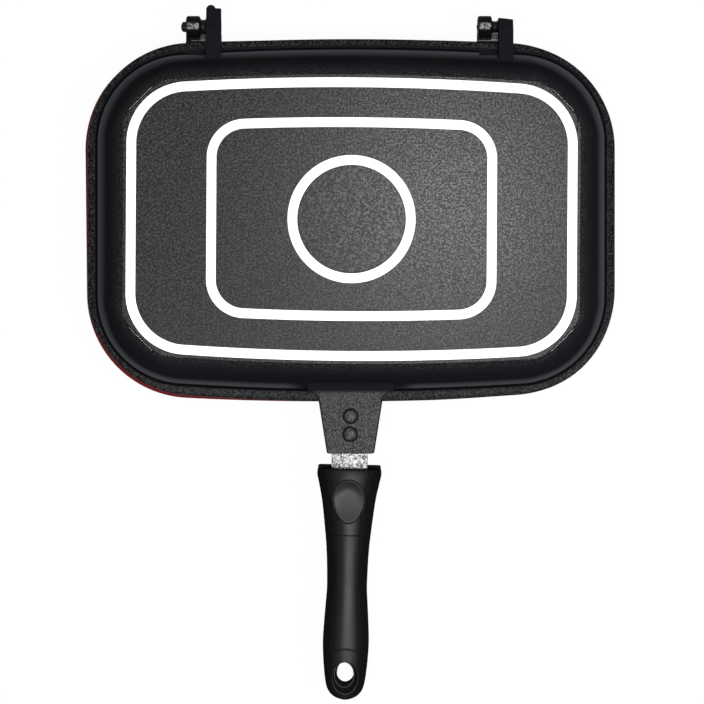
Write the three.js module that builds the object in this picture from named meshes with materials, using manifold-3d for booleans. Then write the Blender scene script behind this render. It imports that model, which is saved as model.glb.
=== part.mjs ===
import * as THREE from 'three';
import { mergeVertices } from 'three/addons/utils/BufferGeometryUtils.js';
import Module from 'manifold-3d';

const wasm = await Module();
wasm.setup();

// A double sided pan: two cast trays, mouth to mouth, on a rear hinge, with a handle each.
// Sizes are in millimetres. +Z is up, +Y runs to the hinge and the handles point to -Y.
// The origin is the middle of the lower tray's base, on the hob.
// Each half is drawn with its mating face at height 0 and its base upwards, then put in place.

// Trays
const panWidth = 360;
const panDepth = 247.5;
const trayHeight = 36;
const closingGap = 0.6;
const bowRadius = 1800; // the long sides bow out on this radius
const panCornerRadius = 71.5;
const flangeThickness = 4;
const flangeSideWidth = 5.8;
const flangeLongWidth = 7.9;
const wallSideRun = 18.8; // from the foot of the wall to the flat of the base, at the short sides
const wallLongRun = 16.9;
const wallThickness = 3;
const rimInset = 3.6; // from the foot of the wall to the mouth of the tray
const floorThickness = 4.5;
const trayTurnDegrees = 0.5; // play in the hinge leaves the lower tray a little askew
const trayShift = 1;

// Wall sections, as shares of the wall's run and of its height
const wallShares = [
  [0, 0.07],
  [0.1, 0.1],
  [0.22, 0.19],
  [0.33, 0.38],
  [0.5, 0.66],
  [0.66, 0.87],
  [0.82, 0.965],
  [1, 1],
];
const cavityShares = [
  [0.03, 0.16],
  [0.1, 0.24],
  [0.2, 0.34],
  [0.32, 0.53],
  [0.5, 0.8],
  [0.68, 0.93],
  [0.86, 0.985],
  [1, 1],
];

// Machined rings that stand proud of the base
const landHeight = 0.8;
const ringWidth = 6.7;
const ringMargin = 3.5; // from the outer ring to the edge of the base
const outerRingRadius = 41.4;
const innerRingLength = 195.6;
const innerRingDepth = 137.2;
const innerRingRadius = 26;
const circleRadius = 43.2;
const circleGroove = 0.6; // between the machined circle and the centre disc
const facetMargin = 2.3; // from the outer ring's corner to the facet across the base's corner
const facetBlend = 8.5;
const facetBulge = 0.3;

// Ribs on the lower tray's floor
const ribWidth = 4;
const ribCrest = 2.4;
const ribHeight = 2.6;
const ribPitch = 18;
const ribMargin = 10; // from a rib's end to the edge of the floor
const ribTaper = 1.6;

// Seal in the lower rim
const sealWidth = 2.4;
const sealHeight = 2.5;
const sealProud = 0.3;
const sealInset = 1.2; // from the foot of the wall in to the seal's middle

// Hinge
const pinSetback = 8.65; // from the flange's rear edge to the hinge axis
const leftLugX = -94;
const rightLugX = 105.3;
const lugWidth = 10.1;
const lugBase = 0.3;
const lugHeight = 13;
const lugBossRadius = 5.6;
const lugEndHeight = 8;
const tailReach = 12.4; // the left lug's tail, from the axis, which meets the arm and stops the lid
const tailDrop = 2;
const tailTopHeight = 5;
const bumpRadius = 2.4;
const bumpProud = 1.9;
const lugNotchDepth = 1.5; // the upper wall is cut back over each barrel
const lugNotchWidth = 13;
const collarLength = 4.2;
const collarRadius = 4.2;
const barrelLength = 9.6;
const barrelRadius = 7.5;
const pinRadius = 3.15;
const pinRootDepth = 8;
const leftPinProud = 3.4;
const rightPinProud = 0.8;
const seatGap = 0.6; // between the turning lugs and the arms below them
const armSetback = 4.1; // from the axis to the arm's end, where the tail comes to rest
const armTopDepth = 5.4;
const armEndDepth = 13;
const armRootDepth = 20;
const webRearDepth = 6;
const webFootDepth = 11.5;
const webFootInset = 3;

// Handle brackets, cast with the trays
const bracketBase = 0.3; // clear of the mating face
const bracketHeight = 12;
const bracketReach = 35.5; // from the flange's front edge
const bracketRootWidth = 42.8;
const bracketEndWidth = 31.7;
const bracketFlareWidth = 59.8;
const bracketRootReach = 3.25;
const bracketFlareRise = 3;

// Tangs and their rivets, with their places along the handle from the flange's front edge
const tangWidth = 24.6;
const tangThickness = 4;
const tangBase = 3.5; // height of the tang's inner face above the mating face
const tangStart = 4.25;
const tangStep = 50.85;
const tangEnd = 89.85;
const tangTailWidth = 16;
const handleLeanDegrees = 1.2; // the handles set out a little to the left, from this pivot
const leanPivot = 1.25;
const rivetPlaces = [9.9, 22.2];
const rivetShankRadius = 2.5;
const rivetHeadRadius = 5.4;
const rivetHeadHeight = 2.4;
const rivetTailRadius = 4.2;
const rivetTailHeight = 1.2;
const rivetRecess = 0.3;

// Grips, with what is in them placed from the grip's front end
const gripStart = 45.85; // from the flange's front edge
const gripLength = 157.7;
const gripWidth = 43.8;
const gripThickness = 18;
const lipReach = 2.6; // a thin lip runs out under the tang
const lipHeight = 3;
const lipWidth = 43;
const inlayPlace = 22.6;
const inlayWidth = 21.6;
const inlayLength = 30;
const inlayFloor = 12;
const inlaySink = 0.6;
const hangHolePlace = 139.1;
const hangHoleWidth = 12;
const hangHoleLength = 14.4;
const hangMouthPlace = 142.1;
const hangMouthWidth = 17;
const hangMouthLength = 22;
const hangMouthDepth = 6;

// Along the grip: share of its length, of its width and of its thickness
const gripShares = [
  [0, 0.99, 0.95],
  [0.02, 1, 0.985],
  [0.057, 0.95, 1],
  [0.127, 0.847, 0.99],
  [0.196, 0.779, 0.965],
  [0.266, 0.721, 0.93],
  [0.336, 0.671, 0.89],
  [0.405, 0.642, 0.86],
  [0.51, 0.623, 0.84],
  [0.58, 0.651, 0.845],
  [0.65, 0.685, 0.86],
  [0.755, 0.717, 0.87],
  [0.82, 0.696, 0.84],
  [0.892, 0.648, 0.76],
  [0.927, 0.61, 0.7],
  [0.953, 0.541, 0.63],
  [0.979, 0.395, 0.53],
  [1, 0.1, 0.42],
];

// Grip screw, magnet and cover
const screwShankRadius = 1.9;
const screwHeadRadius = 3.8;
const screwHeadHeight = 2.2;
const screwHeadBase = 9.4;
const screwTipHeight = 4;
const screwSocketRadius = 1.6;
const screwSocketDepth = 1.2;
const magnetPlace = 61;
const magnetRadius = 6;
const magnetHeight = 4;
const coverRadius = 7.5;
const coverHeight = 0.8;

// Clearances and steps
const fit = 0.3; // around nested pieces
const seat = 0.1; // under pieces that rest on a face
const overrun = 2; // cuts run past their faces by this much
const sunk = 0.5; // joined pieces sink into each other by this much
const rootReach = 10; // lugs, arms and brackets start this far inside the foot of the wall
const tinyGap = 0.001; // corners nearer than this are one corner
const cornerSteps = 8;
const bowSteps = 3;
const turnSteps = 3;
const slotEndSteps = 4;
const roundSteps = 24;
const smallRoundSteps = 16;
const crownSteps = 14;
const domeShares = [0.35, 0.7, 0.92];

// Sizes worked out from those above
const halfWidth = panWidth / 2;
const halfDepth = panDepth / 2;
const footX = halfWidth - flangeSideWidth;
const footY = halfDepth - flangeLongWidth;
const baseX = footX - wallSideRun;
const baseY = footY - wallLongRun;
const ringX = baseX - ringMargin;
const ringY = baseY - ringMargin;
const baseHeight = trayHeight - landHeight;
const floorHeight = baseHeight - floorThickness;
const hingeY = halfDepth + pinSetback;
const axisHeight = -closingGap / 2; // of the hinge, above a half's mating face
const rimSag = (leftLugX * leftLugX) / (2 * bowRadius);
const flangeRearY = halfDepth - rimSag;
const bracketRootY = -halfDepth - bracketRootReach;
const bracketEndY = -halfDepth - bracketReach;
const tangStartY = -halfDepth - tangStart;
const tangStepY = -halfDepth - tangStep;
const tangEndY = -halfDepth - tangEnd;
const leanPivotY = -halfDepth - leanPivot;
const rivetYs = rivetPlaces.map((place) => -halfDepth - place);
const gripStartY = -halfDepth - gripStart;
const inlayY = gripStartY - inlayPlace;
const magnetY = gripStartY - magnetPlace;
const hangHoleY = gripStartY - hangHolePlace;
const hangMouthY = gripStartY - hangMouthPlace;

const down = new THREE.Matrix4().makeScale(-1, 1, -1);
const halves = {
  lower: { name: 'lower', height: trayHeight, turnedOver: true },
  upper: { name: 'upper', height: trayHeight + closingGap, turnedOver: false },
};

// A closed mesh as a solid that can be cut and joined, and back
function toSolid(geometry) {
  const bare = geometry.clone();
  bare.deleteAttribute('normal');
  bare.deleteAttribute('uv');
  const merged = mergeVertices(bare);
  return new wasm.Manifold(new wasm.Mesh({
    numProp: 3,
    vertProperties: new Float32Array(merged.attributes.position.array),
    triVerts: new Uint32Array(merged.index.array),
  }));
}

function toGeometry(solid) {
  const mesh = solid.getMesh();
  const geometry = new THREE.BufferGeometry();
  geometry.setAttribute('position', new THREE.BufferAttribute(mesh.vertProperties, 3));
  geometry.setIndex(new THREE.BufferAttribute(mesh.triVerts, 1));
  return withoutSlivers(mergeVertices(geometry, tinyGap));
}

// Leaves out the triangles whose corners have fallen together
function withoutSlivers(geometry) {
  const corners = geometry.index.array;
  const kept = [];
  for (let i = 0; i < corners.length; i += 3) {
    const [a, b, c] = corners.slice(i, i + 3);
    if (a !== b && b !== c && c !== a) {
      kept.push(a, b, c);
    }
  }
  geometry.setIndex(kept);
  return geometry;
}

function joined(...solids) {
  return solids.reduce((whole, solid) => whole.add(solid));
}

function cut(solid, ...tools) {
  return tools.reduce((rest, tool) => rest.subtract(tool), solid);
}

// The whole outline from its quarter between the short side and the middle of the long one
function wholeOutline(quarter, middleY) {
  const back = [...quarter].reverse();
  return [
    ...quarter.map((p) => new THREE.Vector2(p.x, p.y)),
    new THREE.Vector2(0, middleY),
    ...back.map((p) => new THREE.Vector2(-p.x, p.y)),
    ...quarter.map((p) => new THREE.Vector2(-p.x, -p.y)),
    new THREE.Vector2(0, -middleY),
    ...back.map((p) => new THREE.Vector2(p.x, -p.y)),
  ];
}

// A rectangle with round corners whose long sides bow out
function bowedOutline(halfX, halfY, radius, bow) {
  const centreX = halfX - radius;
  const reach = Math.sqrt((bow - radius) ** 2 - centreX ** 2);
  const centreY = halfY - bow + reach;
  const lean = Math.atan2(centreX, reach);
  const quarter = [];
  for (let i = 0; i <= cornerSteps; i += 1) {
    const angle = ((Math.PI / 2 - lean) * i) / cornerSteps;
    quarter.push(new THREE.Vector2(centreX + radius * Math.cos(angle), centreY + radius * Math.sin(angle)));
  }
  for (let i = 1; i < bowSteps; i += 1) {
    const angle = lean * (1 - i / bowSteps);
    quarter.push(new THREE.Vector2(bow * Math.sin(angle), halfY - bow + bow * Math.cos(angle)));
  }
  return wholeOutline(quarter, halfY);
}

// The base's outline, whose corners are cut by a facet with a soft turn at each end
function facetedOutline(halfX, halfY, bow, inset) {
  const ringCorner = bowedOutline(ringX, ringY, outerRingRadius, bowRadius)[cornerSteps / 2];
  const diagonal = Math.SQRT1_2;
  const facetSum = ringCorner.x + ringCorner.y + (facetMargin - inset) / diagonal;
  const edgeY = (x) => halfY - (x * x) / (2 * bow);
  const sideTurn = new THREE.Vector2(halfX, facetSum - halfX);
  const longX = bow - Math.sqrt(bow * bow - 2 * bow * (facetSum - halfY));
  const longTurn = new THREE.Vector2(longX, edgeY(longX));
  const along = new THREE.Vector2(-diagonal, diagonal);
  const start = new THREE.Vector2(halfX, sideTurn.y - facetBlend);
  const end = new THREE.Vector2(longX - facetBlend, edgeY(longX - facetBlend));
  const first = sideTurn.clone().addScaledVector(along, facetBlend);
  const last = longTurn.clone().addScaledVector(along, -facetBlend);
  const middle = first.clone().lerp(last, 1 / 2).addScaledVector(new THREE.Vector2(diagonal, diagonal), facetBulge);
  const sideArc = new THREE.QuadraticBezierCurve(start, sideTurn, first).getPoints(turnSteps);
  const longArc = new THREE.QuadraticBezierCurve(last, longTurn, end).getPoints(turnSteps);
  const quarter = [...sideArc, middle, ...longArc];
  for (let i = 1; i < bowSteps; i += 1) {
    const x = end.x * (1 - i / bowSteps);
    quarter.push(new THREE.Vector2(x, edgeY(x)));
  }
  return wholeOutline(quarter, halfY);
}

function blended(from, to, share) {
  return from.map((point, i) => point.clone().lerp(to[i], share));
}

function ellipseOutline(width, length, steps) {
  const points = [];
  for (let i = 0; i < steps; i += 1) {
    const angle = (2 * Math.PI * i) / steps;
    points.push(new THREE.Vector2((width / 2) * Math.cos(angle), (length / 2) * Math.sin(angle)));
  }
  return points;
}

// A skin over a stack of outlines: capped at both ends, or closed round into a band
function skin(levels, isBand = false) {
  const count = levels[0].points.length;
  const positions = [];
  const index = [];
  levels.forEach((level) => level.points.forEach((p) => positions.push(p.x, p.y, level.height)));
  const pairs = isBand ? levels.length : levels.length - 1;
  for (let k = 0; k < pairs; k += 1) {
    const low = k * count;
    const high = ((k + 1) % levels.length) * count;
    for (let i = 0; i < count; i += 1) {
      const next = (i + 1) % count;
      index.push(low + i, low + next, high + next, low + i, high + next, high + i);
    }
  }
  if (!isBand) {
    [0, levels.length - 1].forEach((k) => {
      const middle = new THREE.Vector2();
      levels[k].points.forEach((p) => middle.addScaledVector(p, 1 / count));
      const hub = positions.length / 3;
      positions.push(middle.x, middle.y, levels[k].height);
      for (let i = 0; i < count; i += 1) {
        const a = k * count + i;
        const b = k * count + ((i + 1) % count);
        index.push(...(k === 0 ? [hub, b, a] : [hub, a, b]));
      }
    });
  }
  const geometry = new THREE.BufferGeometry();
  geometry.setAttribute('position', new THREE.Float32BufferAttribute(positions, 3));
  geometry.setIndex(index);
  return geometry;
}

// A ring band between two outlines, from one height to another
function band(outer, inner, low, high) {
  return toSolid(skin([
    { points: inner, height: low },
    { points: outer, height: low },
    { points: outer, height: high },
    { points: inner, height: high },
  ], true));
}

function plug(points, low, high) {
  return toSolid(skin([{ points, height: low }, { points, height: high }]));
}

// A box between two corners
function block(x0, x1, y0, y1, z0, z1) {
  const box = new THREE.BoxGeometry(x1 - x0, y1 - y0, z1 - z0);
  return toSolid(box.translate((x0 + x1) / 2, (y0 + y1) / 2, (z0 + z1) / 2));
}

// A turned piece, from radius and height pairs that start and end on the axis, along Z
function turned(pairs, steps) {
  const profile = pairs.map(([radius, height]) => new THREE.Vector2(radius, height));
  return new THREE.LatheGeometry(profile, steps).rotateX(Math.PI / 2);
}

function rod(radius, low, high, steps) {
  return turned([[0, low], [radius, low], [radius, high], [0, high]], steps);
}

// A rod along X, about the hinge axis of a half
function axisRod(radius, x0, x1) {
  return toSolid(rod(radius, x0, x1, roundSteps).rotateY(Math.PI / 2).translate(0, hingeY, axisHeight));
}

// A side profile in Y and Z, pushed out along X
function sideProfile(points, x0, x1) {
  const shape = new THREE.Shape(points.map(([y, z]) => new THREE.Vector2(y, z)));
  const geometry = new THREE.ExtrudeGeometry(shape, { depth: x1 - x0, bevelEnabled: false });
  const turn = new THREE.Matrix4().makeBasis(
    new THREE.Vector3(0, 1, 0),
    new THREE.Vector3(0, 0, 1),
    new THREE.Vector3(1, 0, 0),
  );
  return toSolid(geometry.applyMatrix4(turn).translate(x0, 0, 0));
}

const flangeOutline = bowedOutline(halfWidth, halfDepth, panCornerRadius, bowRadius);
const footRadius = panCornerRadius - flangeSideWidth;
const footOutline = bowedOutline(footX, footY, footRadius, bowRadius);
const baseOutline = facetedOutline(baseX, baseY, bowRadius, 0);
const mouthOutline = bowedOutline(footX - rimInset, footY - rimInset, footRadius - rimInset, bowRadius);
const floorOutline = facetedOutline(baseX - wallThickness, baseY - wallThickness, bowRadius, wallThickness);

function insetOutline(inset) {
  return bowedOutline(footX - inset, footY - inset, footRadius - inset, bowRadius);
}

// The tray's outside, with its flange, wall and base
function trayBody() {
  const wallHeight = baseHeight - flangeThickness;
  const wall = wallShares.map(([run, rise]) => ({
    points: blended(footOutline, baseOutline, run),
    height: flangeThickness + rise * wallHeight,
  }));
  return toSolid(skin([
    { points: flangeOutline, height: 0 },
    { points: flangeOutline, height: flangeThickness },
    { points: footOutline, height: flangeThickness },
    ...wall,
  ]));
}

function cavity() {
  const wall = cavityShares.map(([run, rise]) => ({
    points: blended(mouthOutline, floorOutline, run),
    height: rise * floorHeight,
  }));
  return toSolid(skin([
    { points: mouthOutline, height: -overrun },
    { points: mouthOutline, height: 0 },
    ...wall,
  ]));
}

// The three machined rings and the disc inside the smallest one
function baseRings() {
  const low = baseHeight - sunk;
  const ring = (halfX, halfY, radius) => band(
    bowedOutline(halfX, halfY, radius, bowRadius),
    bowedOutline(halfX - ringWidth, halfY - ringWidth, radius - ringWidth, bowRadius),
    low,
    trayHeight,
  );
  const circleInner = circleRadius - ringWidth;
  const discRadius = circleInner - circleGroove;
  return [
    ring(ringX, ringY, outerRingRadius),
    ring(innerRingLength / 2, innerRingDepth / 2, innerRingRadius),
    band(
      ellipseOutline(2 * circleRadius, 2 * circleRadius, 2 * roundSteps),
      ellipseOutline(2 * circleInner, 2 * circleInner, 2 * roundSteps),
      low,
      trayHeight,
    ),
    plug(ellipseOutline(2 * discRadius, 2 * discRadius, 2 * roundSteps), low, trayHeight),
  ];
}

// Where the handle's bracket grows out of the wall it flares to both sides
function bracket() {
  const rootY = -(footY - rootReach);
  const flareY = -(footY + bracketFlareRise / 2);
  const edgeY = bracketRootY + bracketFlareRise;
  const outline = [
    [bracketFlareWidth / 2, rootY],
    [bracketFlareWidth / 2, flareY],
    [(bracketFlareWidth + bracketRootWidth) / 4, (flareY + edgeY) / 2 + bracketFlareRise / 4],
    [bracketRootWidth / 2, edgeY],
    [bracketEndWidth / 2, bracketEndY],
  ];
  const mirrored = outline.map(([x, y]) => [-x, y]);
  const points = [...outline.reverse(), ...mirrored].map(([x, y]) => new THREE.Vector2(x, y));
  return plug(points, bracketBase, bracketHeight);
}

// Slot for the tang, and a stepped hole for each rivet
function bracketCuts() {
  const slot = block(
    -tangWidth / 2 - fit,
    tangWidth / 2 + fit,
    bracketEndY - overrun,
    tangStartY + fit,
    tangBase - fit,
    tangBase + tangThickness + fit,
  );
  const holes = rivetYs.map((y) => {
    const tailCeiling = rivetRecess + rivetTailHeight + seat;
    const profile = [
      [0, -overrun],
      [rivetTailRadius + fit, -overrun],
      [rivetTailRadius + fit, tailCeiling],
      [rivetShankRadius + fit, tailCeiling],
      [rivetShankRadius + fit, bracketHeight + overrun],
      [0, bracketHeight + overrun],
    ];
    return toSolid(turned(profile, smallRoundSteps).translate(0, y, 0));
  });
  return [slot, ...holes];
}

// Places along X that the lugs, pins and barrels of one hinge share
function hingePlaces(lugX, pinProud) {
  const lugLeft = lugX - lugWidth / 2;
  const barrelRight = lugLeft - collarLength;
  const barrelLeft = barrelRight - barrelLength;
  return { lugLeft, lugRight: lugX + lugWidth / 2, barrelLeft, barrelRight, pinEnd: barrelLeft - pinProud };
}

const leftHinge = hingePlaces(leftLugX, leftPinProud);
const rightHinge = hingePlaces(rightLugX, rightPinProud);

// A lug on the upper tray, which holds a pin; the left one has the long tail
function lug(hinge, hasTail) {
  const rootY = footY - rootReach;
  const topY = hingeY - lugBossRadius / 2;
  const tail = [
    [hingeY, axisHeight - tailDrop],
    [hingeY + tailReach, axisHeight - tailDrop],
    [hingeY + tailReach, tailTopHeight],
    [hingeY + lugBossRadius, lugEndHeight],
  ];
  const stub = [
    [hingeY, axisHeight - tailDrop],
    [hingeY + lugBossRadius, axisHeight],
    [hingeY + lugBossRadius, lugEndHeight],
  ];
  const root = [[rootY, lugHeight], [rootY, lugBase], [hingeY, lugBase]];
  const profile = [...root, ...(hasTail ? tail : stub), [topY, lugHeight]];
  const body = sideProfile(profile, hinge.lugLeft, hinge.lugRight);
  const boss = axisRod(lugBossRadius, hinge.lugLeft, hinge.lugRight);
  if (!hasTail) {
    return joined(body, boss);
  }
  const bumpX = hinge.lugLeft + bumpRadius;
  const bumpY = hingeY + tailReach + bumpProud - bumpRadius;
  const bump = toSolid(rod(bumpRadius, axisHeight, tailTopHeight, smallRoundSteps).translate(bumpX, bumpY, 0));
  return joined(body, boss, bump);
}

function lugBore(hinge) {
  return axisRod(pinRadius + fit, hinge.lugLeft - overrun, hinge.lugLeft + pinRootDepth + fit);
}

function wallNotch(hinge) {
  const notchY = footY - lugNotchDepth - rimSag;
  const low = flangeThickness;
  return block(hinge.lugLeft - lugNotchWidth, hinge.lugLeft, notchY, hingeY, low, low + lugHeight / 2);
}

// An arm on the lower tray, drawn turned over: its platform, and the barrel at its outer end
function arm(hinge) {
  const rootY = footY - rootReach;
  const platform = [
    [rootY, flangeThickness - sunk],
    [flangeRearY, flangeThickness - sunk],
    [hingeY - armSetback, armTopDepth],
    [hingeY - armSetback, armEndDepth],
    [rootY, armRootDepth],
  ];
  const web = [
    [hingeY - barrelRadius, axisHeight],
    [hingeY + barrelRadius, axisHeight],
    [hingeY + barrelRadius, webRearDepth],
    [hingeY + webFootInset, webFootDepth],
    [hingeY - armSetback, armEndDepth],
    [hingeY - barrelRadius, armEndDepth],
  ];
  return joined(
    sideProfile(platform, -hinge.lugRight, -hinge.barrelLeft),
    sideProfile(web, -hinge.barrelRight, -hinge.barrelLeft),
    axisRod(barrelRadius, -hinge.barrelRight, -hinge.barrelLeft),
  );
}

// The bore through the barrel, and the hollow seat that the lug's boss turns in
function armCuts(hinge) {
  return [
    axisRod(pinRadius + fit, -hinge.barrelRight - overrun, -hinge.barrelLeft + overrun),
    axisRod(lugBossRadius + seatGap, -hinge.lugRight - overrun, -hinge.lugLeft + seatGap),
  ];
}

function hingePin(hinge) {
  const collarLeft = hinge.barrelRight + fit;
  const collarRight = hinge.lugLeft - fit;
  const domeStart = hinge.pinEnd + pinRadius / 2;
  const dome = [...domeShares].reverse().map((share) => [
    pinRadius * Math.sqrt(1 - share * share),
    domeStart - (share * pinRadius) / 2,
  ]);
  return toGeometry(toSolid(turned([
    [0, hinge.pinEnd],
    ...dome,
    [pinRadius, domeStart],
    [pinRadius, collarLeft],
    [collarRadius, collarLeft],
    [collarRadius, collarRight],
    [pinRadius, collarRight],
    [pinRadius, hinge.lugLeft + pinRootDepth],
    [0, hinge.lugLeft + pinRootDepth],
  ], roundSteps).rotateY(Math.PI / 2)));
}

// Straight ribs along the floor, each with its ends a set way inside the floor's edge
function floorRibs() {
  const reachX = floorOutline[cornerSteps].x;
  const count = Math.floor(reachX / ribPitch);
  const ribs = [];
  for (let i = -count; i <= count; i += 1) {
    const x = i * ribPitch;
    const halfLength = baseY - wallThickness - ribMargin - (x * x) / (2 * bowRadius);
    const outline = (width, length) => slotOutline(width, length).map((p) => new THREE.Vector2(p.x + x, p.y));
    ribs.push(toSolid(skin([
      { points: outline(ribCrest, 2 * halfLength - 2 * ribTaper), height: floorHeight - ribHeight },
      { points: outline(ribWidth, 2 * halfLength), height: floorHeight + sunk },
    ])));
  }
  return ribs;
}

// A long slot outline with round ends
function slotOutline(width, length) {
  const radius = width / 2;
  const straight = length / 2 - radius;
  const points = [];
  for (let i = 0; i <= slotEndSteps; i += 1) {
    const angle = (Math.PI * i) / slotEndSteps;
    points.push(new THREE.Vector2(radius * Math.cos(angle), straight + radius * Math.sin(angle)));
  }
  return [...points, ...points.map((p) => new THREE.Vector2(-p.x, -p.y))];
}

function moved(solids, matrix) {
  return solids.map((solid) => toSolid(toGeometry(solid).applyMatrix4(matrix)));
}

// The lower tray stands a little askew in its hinge, so its outline is turned and moved
function askew(solids) {
  const turn = new THREE.Matrix4().makeRotationZ(THREE.MathUtils.degToRad(-trayTurnDegrees));
  return moved(solids, turn.setPosition(trayShift, 0, 0));
}

// The handle's lean about its pivot, for a half as it is drawn
function leanOf(half) {
  const angle = THREE.MathUtils.degToRad(half.turnedOver ? handleLeanDegrees : -handleLeanDegrees);
  const lean = new THREE.Matrix4().makeTranslation(0, leanPivotY, 0);
  lean.multiply(new THREE.Matrix4().makeRotationZ(angle));
  return lean.multiply(new THREE.Matrix4().makeTranslation(0, -leanPivotY, 0));
}

function sealGroove() {
  const half = sealWidth / 2 + fit;
  return band(insetOutline(sealInset - half), insetOutline(sealInset + half), -overrun, sealHeight - sealProud + seat);
}

function sealBand() {
  const half = sealWidth / 2;
  return band(insetOutline(sealInset - half), insetOutline(sealInset + half), -sealProud, sealHeight - sealProud);
}

function lowerShell() {
  const [body, inside, groove, ...rings] = askew([trayBody(), cavity(), sealGroove(), ...baseRings()]);
  const outside = joined(body, bracket(), arm(leftHinge), arm(rightHinge), ...rings);
  const handleCuts = moved(bracketCuts(), leanOf(halves.lower));
  const hollow = cut(outside, inside, groove, ...armCuts(leftHinge), ...armCuts(rightHinge), ...handleCuts);
  return toGeometry(joined(hollow, ...askew(floorRibs())));
}

function upperShell() {
  const notched = cut(trayBody(), wallNotch(leftHinge), wallNotch(rightHinge));
  const outside = joined(notched, bracket(), lug(leftHinge, true), lug(rightHinge, false), ...baseRings());
  const handleCuts = moved(bracketCuts(), leanOf(halves.upper));
  return toGeometry(cut(outside, cavity(), lugBore(leftHinge), lugBore(rightHinge), ...handleCuts));
}

function tang() {
  const low = tangBase;
  const high = tangBase + tangThickness;
  const wide = block(-tangWidth / 2, tangWidth / 2, tangStepY, tangStartY, low, high);
  const narrow = block(-tangTailWidth / 2, tangTailWidth / 2, tangEndY, tangStepY + sunk, low, high);
  const hole = (radius, y) => toSolid(rod(radius, low - overrun, high + overrun, smallRoundSteps).translate(0, y, 0));
  return toGeometry(cut(
    joined(wide, narrow),
    ...rivetYs.map((y) => hole(rivetShankRadius + fit, y)),
    hole(screwShankRadius + fit, inlayY),
  ));
}

function rivet(y) {
  const headBase = bracketHeight + seat;
  const dome = domeShares.map((share) => [
    rivetHeadRadius * Math.sqrt(1 - share * share),
    headBase + rivetHeadHeight * share,
  ]);
  return toGeometry(toSolid(turned([
    [0, rivetRecess],
    [rivetTailRadius, rivetRecess],
    [rivetTailRadius, rivetRecess + rivetTailHeight],
    [rivetShankRadius, rivetRecess + rivetTailHeight],
    [rivetShankRadius, headBase],
    [rivetHeadRadius, headBase],
    ...dome,
    [0, headBase + rivetHeadHeight],
  ], smallRoundSteps).translate(0, y, 0)));
}

// The grip's crowned body, flat on its mating face, with its crown drawn in by a set amount
function gripBody(sink) {
  const levels = gripShares.map(([along, wide, thick]) => {
    const halfSpan = (gripWidth * wide) / 2 - sink;
    const crown = gripThickness * thick - sink;
    const points = [];
    for (let i = 0; i <= crownSteps; i += 1) {
      const angle = (Math.PI * i) / crownSteps;
      points.push(new THREE.Vector2(halfSpan * Math.cos(angle), crown * Math.sin(angle)));
    }
    return { points, height: -gripStartY + along * gripLength };
  });
  return toSolid(skin(levels).applyMatrix4(new THREE.Matrix4().makeBasis(
    new THREE.Vector3(1, 0, 0),
    new THREE.Vector3(0, 0, 1),
    new THREE.Vector3(0, -1, 0),
  )));
}

function movedOutline(points, y) {
  return points.map((p) => new THREE.Vector2(p.x, p.y + y));
}

function inlayPlug(grow, low) {
  const outline = ellipseOutline(inlayWidth + 2 * grow, inlayLength + 2 * grow, roundSteps);
  return plug(movedOutline(outline, inlayY), low, gripThickness + overrun);
}

// The hanging hole, wider at its mouth on the crown
function hangHole() {
  const bore = movedOutline(ellipseOutline(hangHoleWidth, hangHoleLength, smallRoundSteps), hangHoleY);
  const mouth = movedOutline(ellipseOutline(hangMouthWidth, hangMouthLength, smallRoundSteps), hangMouthY);
  const mouthFoot = gripThickness - hangMouthDepth - overrun;
  return toSolid(skin([
    { points: bore, height: -overrun },
    { points: bore, height: mouthFoot - overrun },
    { points: mouth, height: mouthFoot + overrun },
    { points: mouth, height: gripThickness + overrun },
  ]));
}

function grip() {
  const low = tangBase - fit;
  const high = tangBase + tangThickness + fit;
  const mouth = block(-tangWidth / 2 - fit, tangWidth / 2 + fit, tangStepY - fit, gripStartY + overrun, low, high);
  const channelHalf = tangTailWidth / 2 + fit;
  const channel = block(-channelHalf, channelHalf, tangEndY - fit, gripStartY, low, high);
  const screwHole = toSolid(turned([
    [0, tangBase],
    [screwShankRadius + fit, tangBase],
    [screwShankRadius + fit, screwHeadBase - seat],
    [screwHeadRadius + fit, screwHeadBase - seat],
    [screwHeadRadius + fit, inlayFloor + sunk],
    [0, inlayFloor + sunk],
  ], smallRoundSteps).translate(0, inlayY, 0));
  const coverDepth = coverHeight + 2 * seat;
  const magnetHole = toSolid(turned([
    [0, -overrun],
    [coverRadius + fit, -overrun],
    [coverRadius + fit, coverDepth],
    [magnetRadius + fit, coverDepth],
    [magnetRadius + fit, coverDepth + magnetHeight + seat],
    [0, coverDepth + magnetHeight + seat],
  ], roundSteps).translate(0, magnetY, 0));
  const lip = block(-lipWidth / 2, lipWidth / 2, gripStartY - sunk, gripStartY + lipReach, 0, lipHeight);
  const body = joined(gripBody(0), lip);
  return toGeometry(cut(body, mouth, channel, screwHole, magnetHole, hangHole(), inlayPlug(fit, inlayFloor)));
}

function thumbInlay() {
  return toGeometry(gripBody(inlaySink).intersect(inlayPlug(0, inlayFloor + seat)));
}

function gripScrew() {
  const headTop = screwHeadBase + screwHeadHeight;
  return toGeometry(toSolid(turned([
    [0, screwTipHeight],
    [screwShankRadius, screwTipHeight],
    [screwShankRadius, screwHeadBase],
    [screwHeadRadius, screwHeadBase],
    [screwHeadRadius, headTop],
    [screwSocketRadius, headTop],
    [screwSocketRadius, headTop - screwSocketDepth],
    [0, headTop - screwSocketDepth],
  ], smallRoundSteps).translate(0, inlayY, 0)));
}

function magnet() {
  const low = coverHeight + 2 * seat;
  return toGeometry(toSolid(rod(magnetRadius, low, low + magnetHeight, roundSteps).translate(0, magnetY, 0)));
}

function magnetCover() {
  return toGeometry(toSolid(rod(coverRadius, seat, seat + coverHeight, roundSteps).translate(0, magnetY, 0)));
}

function finish(color, roughness, metalness) {
  return new THREE.MeshStandardMaterial({ color, roughness, metalness, flatShading: true });
}

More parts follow.
